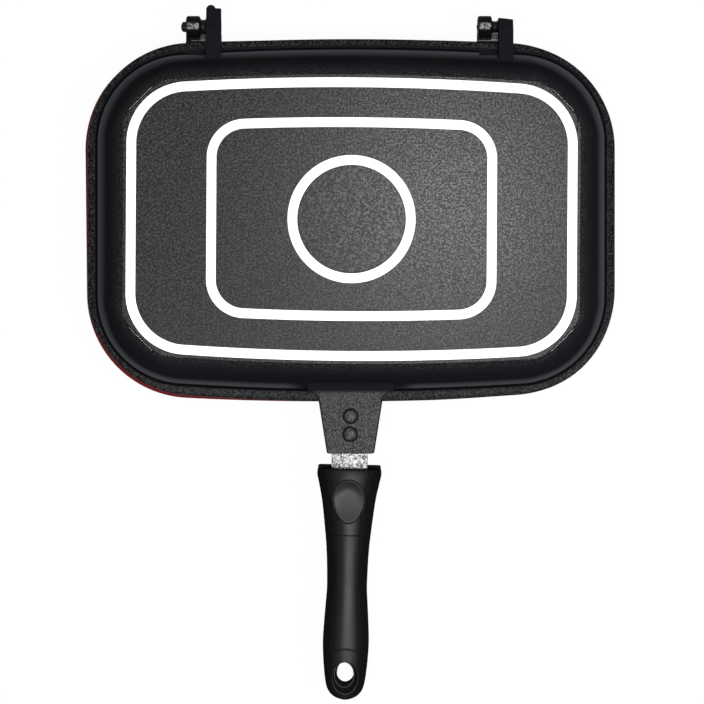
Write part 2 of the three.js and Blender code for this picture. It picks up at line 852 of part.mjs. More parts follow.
const looks = {
  redCast: () => finish(0x9c1712, 0.35, 0.1),
  blackCast: () => finish(0x2b2b2d, 0.6, 0.2),
  grip: () => finish(0x17171a, 0.45, 0),
  inlay: () => finish(0x1d1d21, 0.3, 0),
  steel: () => finish(0xb9bbbd, 0.3, 1),
  blackSteel: () => finish(0x222326, 0.45, 0.6),
  silicone: () => finish(0x6e7074, 0.7, 0),
};

function piece(name, geometry, material) {
  const mesh = new THREE.Mesh(geometry, material);
  mesh.name = name;
  return mesh;
}

// Turns a lower piece over, then lifts either half to its place
function placed(half, name, geometry, material) {
  if (half.turnedOver) {
    geometry.applyMatrix4(down);
  }
  geometry.translate(0, 0, half.height);
  return piece(`${half.name}_${name}`, geometry, material);
}

function handlePieces(half) {
  const lean = leanOf(half);
  return [
    ['tang', tang(), looks.steel()],
    ['rivet_inner', rivet(rivetYs[0]), looks.blackSteel()],
    ['rivet_outer', rivet(rivetYs[1]), looks.blackSteel()],
    ['grip', grip(), looks.grip()],
    ['thumb_inlay', thumbInlay(), looks.inlay()],
    ['grip_screw', gripScrew(), looks.steel()],
    ['magnet', magnet(), looks.blackSteel()],
    ['magnet_cover', magnetCover(), looks.steel()],
  ].map(([name, geometry, material]) => placed(half, name, geometry.applyMatrix4(lean), material));
}

const lowerPan = new THREE.Group();
lowerPan.add(placed(halves.lower, 'pan_shell', lowerShell(), looks.redCast()));
lowerPan.add(placed(halves.lower, 'rim_seal', toGeometry(askew([sealBand()])[0]), looks.silicone()));
lowerPan.add(...handlePieces(halves.lower));

const upperPan = new THREE.Group();
upperPan.add(placed(halves.upper, 'pan_shell', upperShell(), looks.blackCast()));
upperPan.add(...handlePieces(halves.upper));

const pins = new THREE.Group();
pins.position.set(0, hingeY, halves.upper.height + axisHeight);
pins.add(piece('left_hinge_pin', hingePin(leftHinge), looks.blackSteel()));
pins.add(piece('right_hinge_pin', hingePin(rightHinge), looks.blackSteel()));

const flipPan = new THREE.Group();
flipPan.add(lowerPan, upperPan, pins);

export default flipPan;
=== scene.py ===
from math import acos, asin, atan2, cos, exp, pi, radians, sin, sqrt, tan

import bmesh
import bpy
import numpy as np
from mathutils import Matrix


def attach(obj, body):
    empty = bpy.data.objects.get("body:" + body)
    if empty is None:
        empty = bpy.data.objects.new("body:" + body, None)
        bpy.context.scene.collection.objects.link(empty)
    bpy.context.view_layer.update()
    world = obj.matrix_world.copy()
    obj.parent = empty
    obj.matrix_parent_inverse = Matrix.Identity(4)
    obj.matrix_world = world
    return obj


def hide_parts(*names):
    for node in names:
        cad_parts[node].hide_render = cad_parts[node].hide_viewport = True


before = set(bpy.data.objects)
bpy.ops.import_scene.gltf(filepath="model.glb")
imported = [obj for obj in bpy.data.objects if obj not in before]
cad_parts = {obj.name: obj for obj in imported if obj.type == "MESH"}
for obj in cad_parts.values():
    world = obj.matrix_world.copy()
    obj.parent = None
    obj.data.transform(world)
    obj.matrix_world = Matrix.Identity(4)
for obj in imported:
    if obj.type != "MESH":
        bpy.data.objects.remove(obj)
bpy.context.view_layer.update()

mm = 0.001

bpy.context.scene.view_settings.view_transform = "Standard"

# the camera hangs straight above the pan, as in the photograph
view = {"x": 0.0005, "y": -0.09, "height": 2.24, "lens": 164.7, "sensor": 36, "clipEnd": 50}


def linked(name, data):
    thing = bpy.data.objects.new(name, data)
    bpy.context.collection.objects.link(thing)
    return thing


def makeCamera():
    lensData = bpy.data.cameras.new("studioCamera")
    lensData.lens = view["lens"]
    lensData.sensor_width = view["sensor"]
    lensData.clip_end = view["clipEnd"]
    eye = linked("studioCamera", lensData)
    eye.location = (view["x"], view["y"], view["height"])
    bpy.context.scene.camera = eye


makeCamera()
print("camera ready")


# small helpers: shapes are made in millimetres and turned into metres when a piece is placed

def picked(settings, names):
    return [settings[name] for name in names.split()]


# a smooth curve through points that never overshoots them
def monotone(xs, ys, query):
    steps = np.diff(xs)
    rises = np.diff(ys) / steps
    slopes = np.concatenate([[rises[0]], np.zeros(len(xs) - 2), [rises[-1]]])
    for i in range(1, len(xs) - 1):
        if rises[i - 1] * rises[i] > 0:
            slopes[i] = 2 * rises[i - 1] * rises[i] / (rises[i - 1] + rises[i])
    at = np.clip(np.searchsorted(xs, query, side="right") - 1, 0, len(xs) - 2)
    t = (query - xs[at]) / steps[at]
    return (
        ys[at] * (1 + 2 * t) * (1 - t) ** 2
        + ys[at + 1] * t * t * (3 - 2 * t)
        + slopes[at] * steps[at] * t * (1 - t) ** 2
        - slopes[at + 1] * steps[at] * t * t * (1 - t)
    )


# a smooth run of evenly spaced samples through the rows of a table
def smoothRun(rows, count):
    rows = np.asarray(rows, float)
    chords = np.linalg.norm(np.diff(rows, axis=0), axis=1)
    along = np.concatenate([[0], np.cumsum(chords)])
    query = np.linspace(0, along[-1], count)
    return np.stack([monotone(along, rows[:, k], query) for k in range(rows.shape[1])], axis=1)


def ramp(value, low, high):
    t = np.clip((value - low) / (high - low), 0, 1)
    return t * t * (3 - 2 * t)


# a part is its points, its faces and a material number for each face
def part(points, faces, numbers=0):
    if isinstance(numbers, int):
        numbers = [numbers] * len(faces)
    faces = [list(face) for face in faces]
    return {"points": np.asarray(points, float), "faces": faces, "numbers": list(numbers)}


def numbered(made, number):
    return {**made, "numbers": [number] * len(made["faces"])}


def together(parts):
    points, faces, numbers, start = [], [], [], 0
    for one in parts:
        points.append(one["points"])
        faces += [[corner + start for corner in face] for face in one["faces"]]
        numbers += one["numbers"]
        start += len(one["points"])
    return part(np.vstack(points), faces, numbers)


# a skin over a row of loops; the ends are capped, drawn to a hub, or joined round
def loft(loops, numbers=0, ends="caps"):
    count, rows = len(loops[0]), len(loops)
    if isinstance(numbers, int):
        numbers = [numbers] * rows
    points = np.vstack(loops)
    faces, faceNumbers = [], []
    nextTo = [(i + 1) % count for i in range(count)]
    for k in range(rows if ends == "round" else rows - 1):
        low, high = k * count, ((k + 1) % rows) * count
        faces += [[low + i, high + i, high + j, low + j] for i, j in enumerate(nextTo)]
        faceNumbers += [numbers[k]] * count
    if ends == "caps":
        faces += [list(range(count)), list(range((rows - 1) * count, rows * count))[::-1]]
        faceNumbers += [numbers[0], numbers[-1]]
    if ends == "hubs":
        for k, number in ((0, numbers[0]), (rows - 1, numbers[-1])):
            hub = len(points)
            points = np.vstack([points, loops[k].mean(axis=0)])
            faces += [[hub, k * count + i, k * count + j] for i, j in enumerate(nextTo)]
            faceNumbers += [number] * count
    return part(points, faces, faceNumbers)


def flat(outline, height):
    outline = np.asarray(outline, float)
    return np.column_stack([outline, np.broadcast_to(height, len(outline))])


edgeAngles = {"sharp": 35, "bevelled": 40}  # the least degrees between two faces


def meshOf(name, made, materials):
    mesh = bpy.data.meshes.new(name)
    mesh.from_pydata(made["points"].tolist(), [], made["faces"])
    for material in materials:
        mesh.materials.append(material)
    mesh.polygons.foreach_set("material_index", made["numbers"])
    work = bmesh.new()
    work.from_mesh(mesh)
    bmesh.ops.recalc_face_normals(work, faces=work.faces)
    work.to_mesh(mesh)
    work.free()
    mesh.polygons.foreach_set("use_smooth", [True] * len(mesh.polygons))
    mesh.set_sharp_from_angle(angle=radians(edgeAngles["sharp"]))
    return mesh


# the part that a modifier makes of a part
def modified(made, materials, kind, **settings):
    body = linked("bench", meshOf("bench", made, materials))
    modifier = body.modifiers.new("step", kind)
    for key, value in settings.items():
        setattr(modifier, key, value)
    shape = body.evaluated_get(bpy.context.evaluated_depsgraph_get()).to_mesh()
    points = np.array([corner.co[:] for corner in shape.vertices])
    faces = [list(face.vertices) for face in shape.polygons]
    made = part(points, faces, [face.material_index for face in shape.polygons])
    bpy.data.objects.remove(body)
    return made


def carved(made, materials, tools):
    for tool in tools:
        cutter = linked("tool", meshOf("tool", tool, materials))
        made = modified(made, materials, "BOOLEAN", operation="DIFFERENCE", solver="EXACT", object=cutter)
        bpy.data.objects.remove(cutter)
    return made


def bevelled(made, materials, width, segments):
    limit = {"limit_method": "ANGLE", "angle_limit": radians(edgeAngles["bevelled"])}
    return modified(made, materials, "BEVEL", width=width, segments=segments, **limit)


# a closed outline whose corners are rounded by the given reach
def roundedPolygon(corners, radii, steps=6):
    corners = np.asarray(corners, float)
    radii = np.broadcast_to(radii, len(corners))
    outline = []
    for k, corner in enumerate(corners):
        before, after = corners[k - 1] - corner, corners[(k + 1) % len(corners)] - corner
        lengths = np.linalg.norm(before), np.linalg.norm(after)
        before, after = before / lengths[0], after / lengths[1]
        half = acos(np.clip(before @ after, -1, 1)) / 2
        reach = min(radii[k] / tan(half), 0.49 * min(lengths)) if radii[k] > 0 else 0
        if reach <= 0:
            outline.append(corner)
            continue
        for t in np.linspace(0, 1, steps):
            outline.append(corner + before * reach * (1 - t) ** 2 + after * reach * t ** 2)
    return np.array(outline)


# a profile in Y and Z pushed out along X
def prismX(profile, x0, x1, number=0):
    loops = [np.column_stack([np.full(len(profile), x), profile]) for x in (x0, x1)]
    return loft(loops, number)


def block(x0, x1, y0, y1, z0, z1, number=0):
    return prismX(np.array([[y0, z0], [y1, z0], [y1, z1], [y0, z1]]), x0, x1, number)


# angles all the way round
def around(count):
    return np.linspace(0, 2 * pi, count, endpoint=False)


# turned about an axis along X or Z, from pairs of place along the axis and radius
def turned(pairs, centre, axis="z", steps=64):
    angles = around(steps)
    loops = []
    for along, radius in pairs:
        a, b = radius * np.cos(angles), radius * np.sin(angles)
        c = np.full(steps, along)
        loops.append(np.column_stack([c, a, b] if axis == "x" else [a, b, c]) + centre)
    return loft(loops, 0, "hubs")


# each half is drawn with its mouth down at height 0, and the lower one is then turned over
halves = {
    "upper": {"body": "upper_pan", "height": 36.6, "turned": False},
    "lower": {"body": "lower_pan", "height": 36.0, "turned": True},
}
handleLean = {"angle": 1.2, "pivot": -125, "shift": -0.3}


def spun(points, degrees, pivotY=0):
    turn = radians(degrees)
    x, y = points[:, 0], points[:, 1] - pivotY
    made = points.copy()
    made[:, 0] = x * cos(turn) - y * sin(turn)
    made[:, 1] = x * sin(turn) + y * cos(turn) + pivotY
    return made


def leaning(made, half):
    way = -1 if half["turned"] else 1
    made["points"] = spun(made["points"], -handleLean["angle"] * way, handleLean["pivot"])
    made["points"][:, 0] += handleLean["shift"] * way
    return made


# puts a half's part in its place and makes it ride with its body
def settle(name, made, materials, half, node):
    points = made["points"].copy()
    if half["turned"]:
        points[:, 0] *= -1
        points[:, 2] *= -1
    points[:, 2] += half["height"]
    standing(name, {**made, "points": points}, materials, half["body"], node)


def standing(name, made, materials, body, node):
    piece = linked(name, meshOf(name, {**made, "points": made["points"] * mm}, materials))
    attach(piece, body)
    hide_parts(node)


# small helpers for materials

def addNode(tree, kind, inputs=None, **settings):
    made = tree.nodes.new(kind)
    for key, value in settings.items():
        setattr(made, key, value)
    for key, value in (inputs or {}).items():
        if isinstance(value, bpy.types.NodeSocket):
            tree.links.new(value, made.inputs[key])
        else:
            isColour = isinstance(value, tuple) and len(value) == 3
            made.inputs[key].default_value = (*value, 1) if isColour else value
    return made


sockets = {
    "metallic": "Metallic", "specular": "Specular IOR Level", "coat": "Coat Weight", "coatRough": "Coat Roughness",
}


def startMaterial(name, setting):
    material = bpy.data.materials.new(name)
    material.use_nodes = True
    tree = material.node_tree
    shader = tree.nodes["Principled BSDF"]
    for key, socket in sockets.items():
        if key in setting:
            shader.inputs[socket].default_value = setting[key]
    where = addNode(tree, "ShaderNodeTexCoord").outputs["Object"]
    return material, tree, shader, where


def mixed(tree, factor, first, second):
    return addNode(tree, "ShaderNodeMix", {0: factor, 6: first, 7: second}, data_type="RGBA").outputs[2]


def noise(tree, where, scale, detail=3, roughness=0.55, distortion=0):
    return addNode(tree, "ShaderNodeTexNoise", {
        "Vector": where, "Scale": scale, "Detail": detail, "Roughness": roughness, "Distortion": distortion,
    }).outputs["Fac"]


def between(tree, value, low, high, first=0, last=1):
    return addNode(tree, "ShaderNodeMapRange", {
        "Value": value, "From Min": low, "From Max": high, "To Min": first, "To Max": last,
    }, interpolation_type="SMOOTHSTEP").outputs[0]


def calculated(tree, operation, first, second=0.0, clamp=False):
    return addNode(tree, "ShaderNodeMath", {0: first, 1: second}, operation=operation, use_clamp=clamp).outputs[0]


def bumped(tree, shader, height, distance, strength):
    bump = addNode(tree, "ShaderNodeBump", {"Height": height, "Distance": distance * mm, "Strength": strength})
    tree.links.new(bump.outputs[0], shader.inputs["Normal"])


def axisOf(tree, where, axis):
    return addNode(tree, "ShaderNodeSeparateXYZ", {0: where}).outputs[axis]


# the black coat; places are in millimetres above the floor or along an axis
coat = {
    "satin": (0.0086, 0.0084, 0.0104), "satinPale": (0.0092, 0.009, 0.011), "satinRough": (0.36, 0.44),
    # riser is painted shade on the step below the wall's foot; foot, with footStart to footToInFront, front and
    # overBracket, is a painted highlight along the wall's foot
    "riser": (0.004, 0.004, 0.005), "riserShadeRange": (42.7, 43),
    "foot": (0.04, 0.041, 0.046), "footStart": (42.8, 43), "footFrom": 42.6, "footTo": 58, "footToInFront": 50,
    "front": (-100, -40), "overBracket": (30, 48),
    "grainNoise": (2.5, 0.6, 0.4), "grainRough": (0.28, 0.18), "plainRough": 0.9, "bumpStrength": 0.9,
}
grain = {
    "dark": (0.003, 0.003, 0.0035), "light": (0.05, 0.05, 0.051), "blob": 820, "speckle": (0.43, 0.63),
    "specular": 0.1, "bump": 0.014,
}
grains = {
    "baseGrain": grain,
    "marginGrain": {**grain, "specular": 0.02, "axis": "Z", "plain": 70, "full": 74.4},
    "flangeGrain": {**grain, "light": (0.03, 0.03, 0.031), "specular": 0.02, "bump": 0.03},
    "bracketGrain": {
        "dark": (0.01, 0.01, 0.0105), "light": (0.098, 0.098, 0.1), "blob": 1350, "speckle": (0.36, 0.68),
        "specular": 0.02, "bump": 0.03, "axis": "Y", "plain": -115.5, "full": -119,
    },
}


# black coat with a coarse grain, which may fade out to plain satin along one axis
def grainCoat(name):
    setting = grains[name]
    material, tree, shader, where = startMaterial(name, setting)
    blobs = noise(tree, where, setting["blob"], *coat["grainNoise"])
    colour = mixed(tree, between(tree, blobs, *setting["speckle"]), setting["dark"], setting["light"])
    rough = between(tree, blobs, 0.3, 0.7, *coat["grainRough"])
    height = blobs
    if "axis" in setting:
        place = axisOf(tree, where, setting["axis"])
        share = between(tree, place, setting["plain"] * mm, setting["full"] * mm)
        colour = mixed(tree, share, coat["satin"], colour)
        rough = addNode(tree, "ShaderNodeMix", {0: share, 2: coat["plainRough"], 3: rough}).outputs[0]
        height = calculated(tree, "MULTIPLY", share, blobs)
    tree.links.new(colour, shader.inputs["Base Color"])
    tree.links.new(rough, shader.inputs["Roughness"])
    bumped(tree, shader, height, setting["bump"], coat["bumpStrength"])
    return material


# a painted highlight: paler where the wall turns out at its foot, over a shorter run in front, and not over the
# bracket
def footHighlightShare(tree, where, height):
    def within(value, span, first=0, last=1):
        return between(tree, value, span[0] * mm, span[1] * mm, first, last)

    front = within(axisOf(tree, where, "Y"), coat["front"], 1, 0)
    end = between(tree, front, 0, 1, coat["footTo"] * mm, coat["footToInFront"] * mm)
    falling = between(tree, height, coat["footFrom"] * mm, end, 1, 0)
    foot = calculated(tree, "MULTIPLY", within(height, coat["footStart"]), falling)
    across = calculated(tree, "ABSOLUTE", axisOf(tree, where, "X"))
    overBracket = calculated(tree, "MULTIPLY", front, within(across, coat["overBracket"], 1, 0))
    return calculated(tree, "MULTIPLY", foot, between(tree, overBracket, 0, 1, 1, 0))


def satinCoat(name, paintFootHighlight):
    material, tree, shader, where = startMaterial(name, {"specular": 0})
    clouds = noise(tree, where, 60, 4)
    black = mixed(tree, clouds, coat["satin"], coat["satinPale"])
    if paintFootHighlight:
        height = axisOf(tree, where, "Z")
        # painted shade darkens the riser below the wall's foot, and a painted highlight brightens the foot
        low, high = coat["riserShadeRange"]
        black = mixed(tree, between(tree, height, low * mm, high * mm), coat["riser"], black)
        black = mixed(tree, footHighlightShare(tree, where, height), black, coat["foot"])
    tree.links.new(black, shader.inputs["Base Color"])
    tree.links.new(between(tree, clouds, 0.3, 0.7, *coat["satinRough"]), shader.inputs["Roughness"])
    bumped(tree, shader, noise(tree, where, 1500, 2), 0.02, 0.5)
    return material


# grain, roughGrain and bumpGrain are noises (scale, detail, roughness, distortion); the grain mixes the
# colours, and takes the others' place where they aren't given; bump is its depth in millimetres and strength
gripFinish = {
    "grain": (1300, 3, 0.6), "colours": ((0.0035, 0.0035, 0.004), (0.008, 0.008, 0.009)),
    "roughGrain": (70, 3), "rough": (0.4, 0.44), "bumpGrain": (420, 3, 0.7), "bump": (0.03, 0.7),
}
lacquerFinish = {
    "coat": 0.4, "coatRough": 0.12, "grain": (45, 4), "bumpGrain": (350, 2),
    "colours": ((0.2, 0.006, 0.006), (0.27, 0.01, 0.009)), "rough": (0.3, 0.4), "bump": (0.04, 0.35),
}
finishes = {
    "machinedAluminium": {
        "metallic": 1.0, "grain": (900, 2), "colours": ((0.72, 0.72, 0.72), (0.84, 0.84, 0.84)),
        "roughSpan": (0.2, 0.8), "rough": (0.56, 0.68), "bump": (0.02, 0.4),
    },
    "redLacquer": lacquerFinish,
    "rimLacquer": {  # the rim's edge is dull, and its red is painted darker as shade, since it sits under the upper rim
        **lacquerFinish, "coat": 0, "specular": 0.04,
        "colours": ((0.085, 0.004, 0.004), (0.115, 0.006, 0.006)),
    },
    "nonStickCoat": {
        "specular": 0.45, "grain": (700, 3, 0.7), "contrast": (0.52, 0.7),
        "colours": ((0.014, 0.014, 0.015), (0.07, 0.07, 0.07)), "rough": (0.36, 0.5), "bump": (0.04, 0.5),
    },
    "bareCasting": {
        "metallic": 0.4, "grain": (700, 4), "colours": ((0.34, 0.31, 0.28), (0.66, 0.6, 0.55)),
        # painted shade: behind 124.6 mm, under the barrel and its neck, the bare casting is painted a darker grey
        "paintedLightShade": {"axis": "Y", "start": 123.9, "end": 124.6, "colour": (0.14, 0.15, 0.16)},
        "rough": (0.4, 0.6), "bump": (0.08, 0.6),
    },
    "darkSteel": {  # paler grain only on the rivets' crowns, as a painted highlight; lower down the rivets' sides and shoulders are painted dark as shade, and the pins are dark all over
        "specular": 0.15, "grain": (800, 3), "contrast": (0.4, 0.65),
        "colours": ((0.03, 0.03, 0.031), (0.12, 0.12, 0.122)),
        "paintedLightShade": {"axis": "Z", "middle": 36.3, "start": 14.6, "end": 13.6, "colour": (0.006, 0.006, 0.007)},
        "rough": (0.4, 0.52), "bump": (0.03, 0.5),
    },
    "barrelCoat": {
        "specular": 0.03, "grain": (600, 4, 0.65), "contrast": (0.42, 0.62),
        "colours": ((0.03, 0.03, 0.03), (0.3, 0.3, 0.3)),
        # painted highlight: only the barrel's top, above 43.7 mm, shows the pale grain, and below 43.25 mm the
        # barrel is dark
        "paintedLightShade": {"axis": "Z", "start": 43.7, "end": 43.25, "colour": (0.004, 0.004, 0.004)},
        "rough": (0.4, 0.5), "bump": (0.04, 0.6),
    },
    "tangSteel": {
        "metallic": 1.0, "grain": (640, 4, 0.65, 1.2), "contrast": (0.4, 0.58),
        "colours": ((0.08, 0.08, 0.084), (0.44, 0.44, 0.45)), "rough": (0.7, 0.5), "bump": (0.25, 0.9),
    },
    "gripPlastic": {**gripFinish, "specular": 0.2},
    "gripSides": {**gripFinish, "specular": 0},
    "gripShoulder": {**gripFinish, "specular": 0.07},
    "inlayPlastic": {
        "specular": 0.3, "grain": (160, 3), "bumpGrain": (1600, 2),
        "colours": ((0.011, 0.011, 0.012), (0.018, 0.018, 0.02)), "rough": (0.46, 0.52), "bump": (0.008, 0.4),
    },
    "silicone": {
        "specular": 0.3, "grain": (120, 3), "bumpGrain": (1200, 2),
        "colours": ((0.2, 0.2, 0.21), (0.27, 0.27, 0.28)), "rough": (0.55, 0.68), "bump": (0.02, 0.4),
    },
    "polishedSteel": {
        "metallic": 1.0, "grain": (1500, 2), "colours": ((0.6, 0.6, 0.61), (0.72, 0.72, 0.73)),
        "rough": (0.24, 0.34),
    },
    "ferrite": {
        "specular": 0.4, "grain": (1100, 3), "colours": ((0.04, 0.04, 0.04), (0.09, 0.09, 0.09)),
        "rough": (0.5, 0.7),
    },
}


def finish(name):
    setting = finishes[name]
    material, tree, shader, where = startMaterial(name, setting)
    ownGrain = noise(tree, where, *setting["grain"])

    def grainOf(key):
        return noise(tree, where, *setting[key]) if key in setting else ownGrain

    share = between(tree, ownGrain, *setting["contrast"]) if "contrast" in setting else ownGrain
    colour = mixed(tree, share, *setting["colours"])
    # paintedLightShade paints a colour over part of a finish along one axis: highlights and shade painted in, not
    # the finish's own colour
    if "paintedLightShade" in setting:
        paintedLightShade = setting["paintedLightShade"]
        place = axisOf(tree, where, paintedLightShade["axis"])
        if "middle" in paintedLightShade:
            place = calculated(tree, "ABSOLUTE", calculated(tree, "SUBTRACT", place, paintedLightShade["middle"] * mm))
        share = between(tree, place, paintedLightShade["start"] * mm, paintedLightShade["end"] * mm)
        colour = mixed(tree, share, colour, paintedLightShade["colour"])
    tree.links.new(colour, shader.inputs["Base Color"])
    span = setting.get("roughSpan", (0.3, 0.7))
    rough = between(tree, grainOf("roughGrain"), *span, *setting["rough"])
    tree.links.new(rough, shader.inputs["Roughness"])
    if "bump" in setting:
        bumped(tree, shader, grainOf("bumpGrain"), *setting["bump"])
    return material


baseGrain, marginGrain, flangeGrain, bracketGrain = [grainCoat(name) for name in grains]
satin = satinCoat("satinCoat", True)
plainSatin = satinCoat("plainSatin", False)
looks = {name: finish(name) for name in finishes}
metal, lacquer, rimLacquer = picked(looks, "machinedAluminium redLacquer rimLacquer")
inside, casting, barrelMetal = picked(looks, "nonStickCoat bareCasting barrelCoat")
gripCoats = picked(looks, "gripPlastic gripSides gripShoulder")
print("materials ready")


# plain studio: a pale floor, soft lamps overhead and a dim sky; the floor shows white to the camera and
# in reflections, and lights the pan as plain pale paper
studio = {
    "lamps": [
        {"name": "softbox", "size": (2.6, 2.6), "place": (0, 0.25, 2.9), "power": 8},
        {"name": "keyLamp", "size": (0.2, 0.2), "place": (0.16, 0.138, 2.88), "power": 13},
        {"name": "handleStrip", "size": (2.6, 0.4), "place": (0.66, -0.57, 2.86), "power": 84},
    ],
    "horizon": 0.16, "zenith": 0.4, "zenithAt": 0.9, "floorSize": 30, "paper": (0.9, 0.9, 0.9), "shownWhite": 0.96,
}
white = (1, 1, 1)


def makeStudio():
    for setting in studio["lamps"]:
        lampData = bpy.data.lights.new(setting["name"], "AREA")
        lampData.shape = "RECTANGLE"
        lampData.size, lampData.size_y = setting["size"]
        lampData.energy = setting["power"]
        linked(setting["name"], lampData).location = setting["place"]

    world = bpy.data.worlds.new("studioSky")
    bpy.context.scene.world = world
    world.use_nodes = True
    tree = world.node_tree
    up = axisOf(tree, addNode(tree, "ShaderNodeTexCoord").outputs["Generated"], "Z")
    level = between(tree, up, 0, studio["zenithAt"], studio["horizon"], studio["zenith"])
    tree.links.new(level, tree.nodes["Background"].inputs["Strength"])
    tree.nodes["Background"].inputs["Color"].default_value = (*white, 1)

    half = studio["floorSize"] / 2
    corners = [(-half, -half, 0), (half, -half, 0), (half, half, 0), (-half, half, 0)]
    floorMesh = bpy.data.meshes.new("studioFloor")
    floorMesh.from_pydata(corners, [], [(0, 1, 2, 3)])
    floor = linked("studioFloor", floorMesh)
    paper = bpy.data.materials.new("paleFloor")
    paper.use_nodes = True
    tree = paper.node_tree
    tree.nodes.remove(tree.nodes["Principled BSDF"])
    rays = addNode(tree, "ShaderNodeLightPath").outputs
    seen = calculated(tree, "ADD", rays["Is Camera Ray"], rays["Is Glossy Ray"])
    seen = calculated(tree, "ADD", seen, rays["Is Transmission Ray"], clamp=True)
    matte = addNode(tree, "ShaderNodeBsdfDiffuse", {"Color": studio["paper"]}).outputs[0]
    bright = addNode(tree, "ShaderNodeEmission", {"Color": white, "Strength": 1}).outputs[0]
    share = calculated(tree, "MULTIPLY", seen, studio["shownWhite"])
    mixer = addNode(tree, "ShaderNodeMixShader", {0: share, 1: matte, 2: bright}).outputs[0]
    tree.links.new(mixer, tree.nodes["Material Output"].inputs["Surface"])
    floorMesh.materials.append(paper)


makeStudio()
print("studio ready")


# one tray, from the rim's mating face at height 0 up to the rings; rows are pairs of inset and height
tray = {
    "halfWidth": 180, "halfDepth": 123.75, "height": 36, "bow": 1800, "cornerRadius": 71.5,
    "flange": 4, "flangeSide": 5.8, "flangeLong": 7.9, "wallSide": 18.8, "wallLong": 16.9,
    "wall": 3, "rimInset": 3.6, "floor": 4.5, "turn": 0.6, "shift": 1.4,
    "land": 0.8, "ring": 6.7, "ringMargin": 3.5, "outerRadius": 41.4,
    "inner": (97.8, 68.6, 26), "circle": 43.2, "circleGroove": 0.6, "edge": 0.15,
    "facetMargin": 2.9, "facetBlend": 6.5, "facetBulge": 0.3, "facetRise": (5, 11), "facetFall": (25, 31),
    "notch": 0.6, "creaseInsets": (1.5, 1.25, 0.95, 0.64, 0.57), "creaseShare": 0.95, "marginFrom": 32.6,
    "baseTurn": 0.36, "baseShift": (0.2, -0.55),
    "ledge": (172.7, 115.6, 59.6), "ledgeShift": (-0.15, 0.55),
    "riser": [(-0.5, 6.15), (-1, 5.7), (-1.45, 5), (-1.7, 4.25)], "riserFoot": -1.85,
    "shelf": 1.5, "shelfInset": -2.2, "shelfRange": (30, 100),
    "rim": [(0.6, 4), (0.18, 3.86), (0, 3.45), (0, 0.45), (0.14, 0.13)], "rimMouth": 0.5,
    "sealGroove": [(-0.3, 0), (-0.3, 2.3), (2.7, 2.3), (2.7, 0)], "mouthRound": 0.3, "floorShare": 0.6,
    "wallRun": [
        (0, 0.074), (0.05, 0.086), (0.11, 0.12), (0.18, 0.19), (0.28, 0.36), (0.46, 0.66), (0.63, 0.87),
        (0.8, 0.965), (1, 1),
    ],
    "cavityRun": [
        (0, 0), (0.03, 0.16), (0.1, 0.24), (0.2, 0.34), (0.32, 0.53), (0.5, 0.8), (0.68, 0.93),
        (0.86, 0.985), (1, 1),
    ],
    "wallSamples": 30, "cavitySamples": 22, "bowSteps": 14, "sideSteps": 8,
}
# pushes of the rim's corners, and how far out they grow and fade across and along
rimShift = {
    "left": (-0.4, 0.9), "right": (-0.7, 0.8), "grow": ((50, 115), (40, 95)), "fade": ((115, 160), (50, 95)),
    "front": (0.7, 0.7), "frontGrow": ((40, 125), (60, 105)),
}
footX = tray["halfWidth"] - tray["flangeSide"]
footY = tray["halfDepth"] - tray["flangeLong"]
footRadius = tray["cornerRadius"] - tray["flangeSide"]
baseX = footX - tray["wallSide"]
baseY = footY - tray["wallLong"]
baseHeight = tray["height"] - tray["land"]
floorHeight = baseHeight - tray["floor"]
hingeY = 132.4
axisHeight = -0.3
cornerShares = np.concatenate([
    np.linspace(0, 0.12, 11), np.linspace(0.12, 0.88, 17)[1:], np.linspace(0.88, 1, 11)[1:],
])
cornerLast = len(cornerShares) - 1


# from a quarter that starts at the corner, with a few points along the straight short side
def wholeOutline(quarter, middleY):
    endX, endY = quarter[0]
    side = [(endX, endY * k / tray["sideSteps"]) for k in range(1, tray["sideSteps"])]
    quarter = np.vstack([side, quarter])
    back = quarter[::-1]
    return np.vstack([
        [[endX, 0]], quarter, [[0, middleY]], back * (-1, 1),
        [[-endX, 0]], quarter * (-1, -1), [[0, -middleY]], back * (1, -1),
    ])


# a rectangle with round corners whose long sides bow out
def bowedOutline(size, inset):
    halfX, halfY, radius = np.array(size) - inset
    bow = tray["bow"]
    centreX = halfX - radius
    reach = sqrt((bow - radius) ** 2 - centreX ** 2)
    centreY = halfY - bow + reach
    lean = atan2(centreX, reach)
    turn = (pi / 2 - lean) * cornerShares
    corner = np.column_stack([centreX + radius * np.cos(turn), centreY + radius * np.sin(turn)])
    side = lean * (1 - np.arange(1, tray["bowSteps"]) / tray["bowSteps"])
    longSide = np.column_stack([bow * np.sin(side), halfY - bow + bow * np.cos(side)])
    return wholeOutline(np.vstack([corner, longSide]), halfY)


def footOutline(inset=0):
    return bowedOutline((footX, footY, footRadius), inset)


# where the outer wall meets the ledge above the flange, a little off the middle
def wallFoot(inset=0):
    return bowedOutline(tray["ledge"], inset) + tray["ledgeShift"]


# the base and its rings sit a little askew on the rim
def baseTurned(outline):
    return spun(np.asarray(outline, float), -tray["baseTurn"]) + tray["baseShift"]


def rimOutline(inset, way):
    outline = bowedOutline(picked(tray, "halfWidth halfDepth cornerRadius"), inset)

    def corner(across, along, spans):
        return (ramp(across, *spans[0]) * ramp(along, *spans[1]))[:, None]

    for side, push in ((-1, rimShift["left"]), (1, rimShift["right"])):
        across, along = outline[:, 0] * side * way, -outline[:, 1] * side
        share = corner(across, along, rimShift["grow"])
        if side > 0:
            share = share * (1 - corner(across, along, rimShift["fade"]))
        outline = outline + share * (push[0] * way, push[1])
    if way > 0:  # the upper rim's front left corner leaves more of the red one in sight
        outline = outline + corner(*-outline.T, rimShift["frontGrow"]) * rimShift["front"]
    return outline


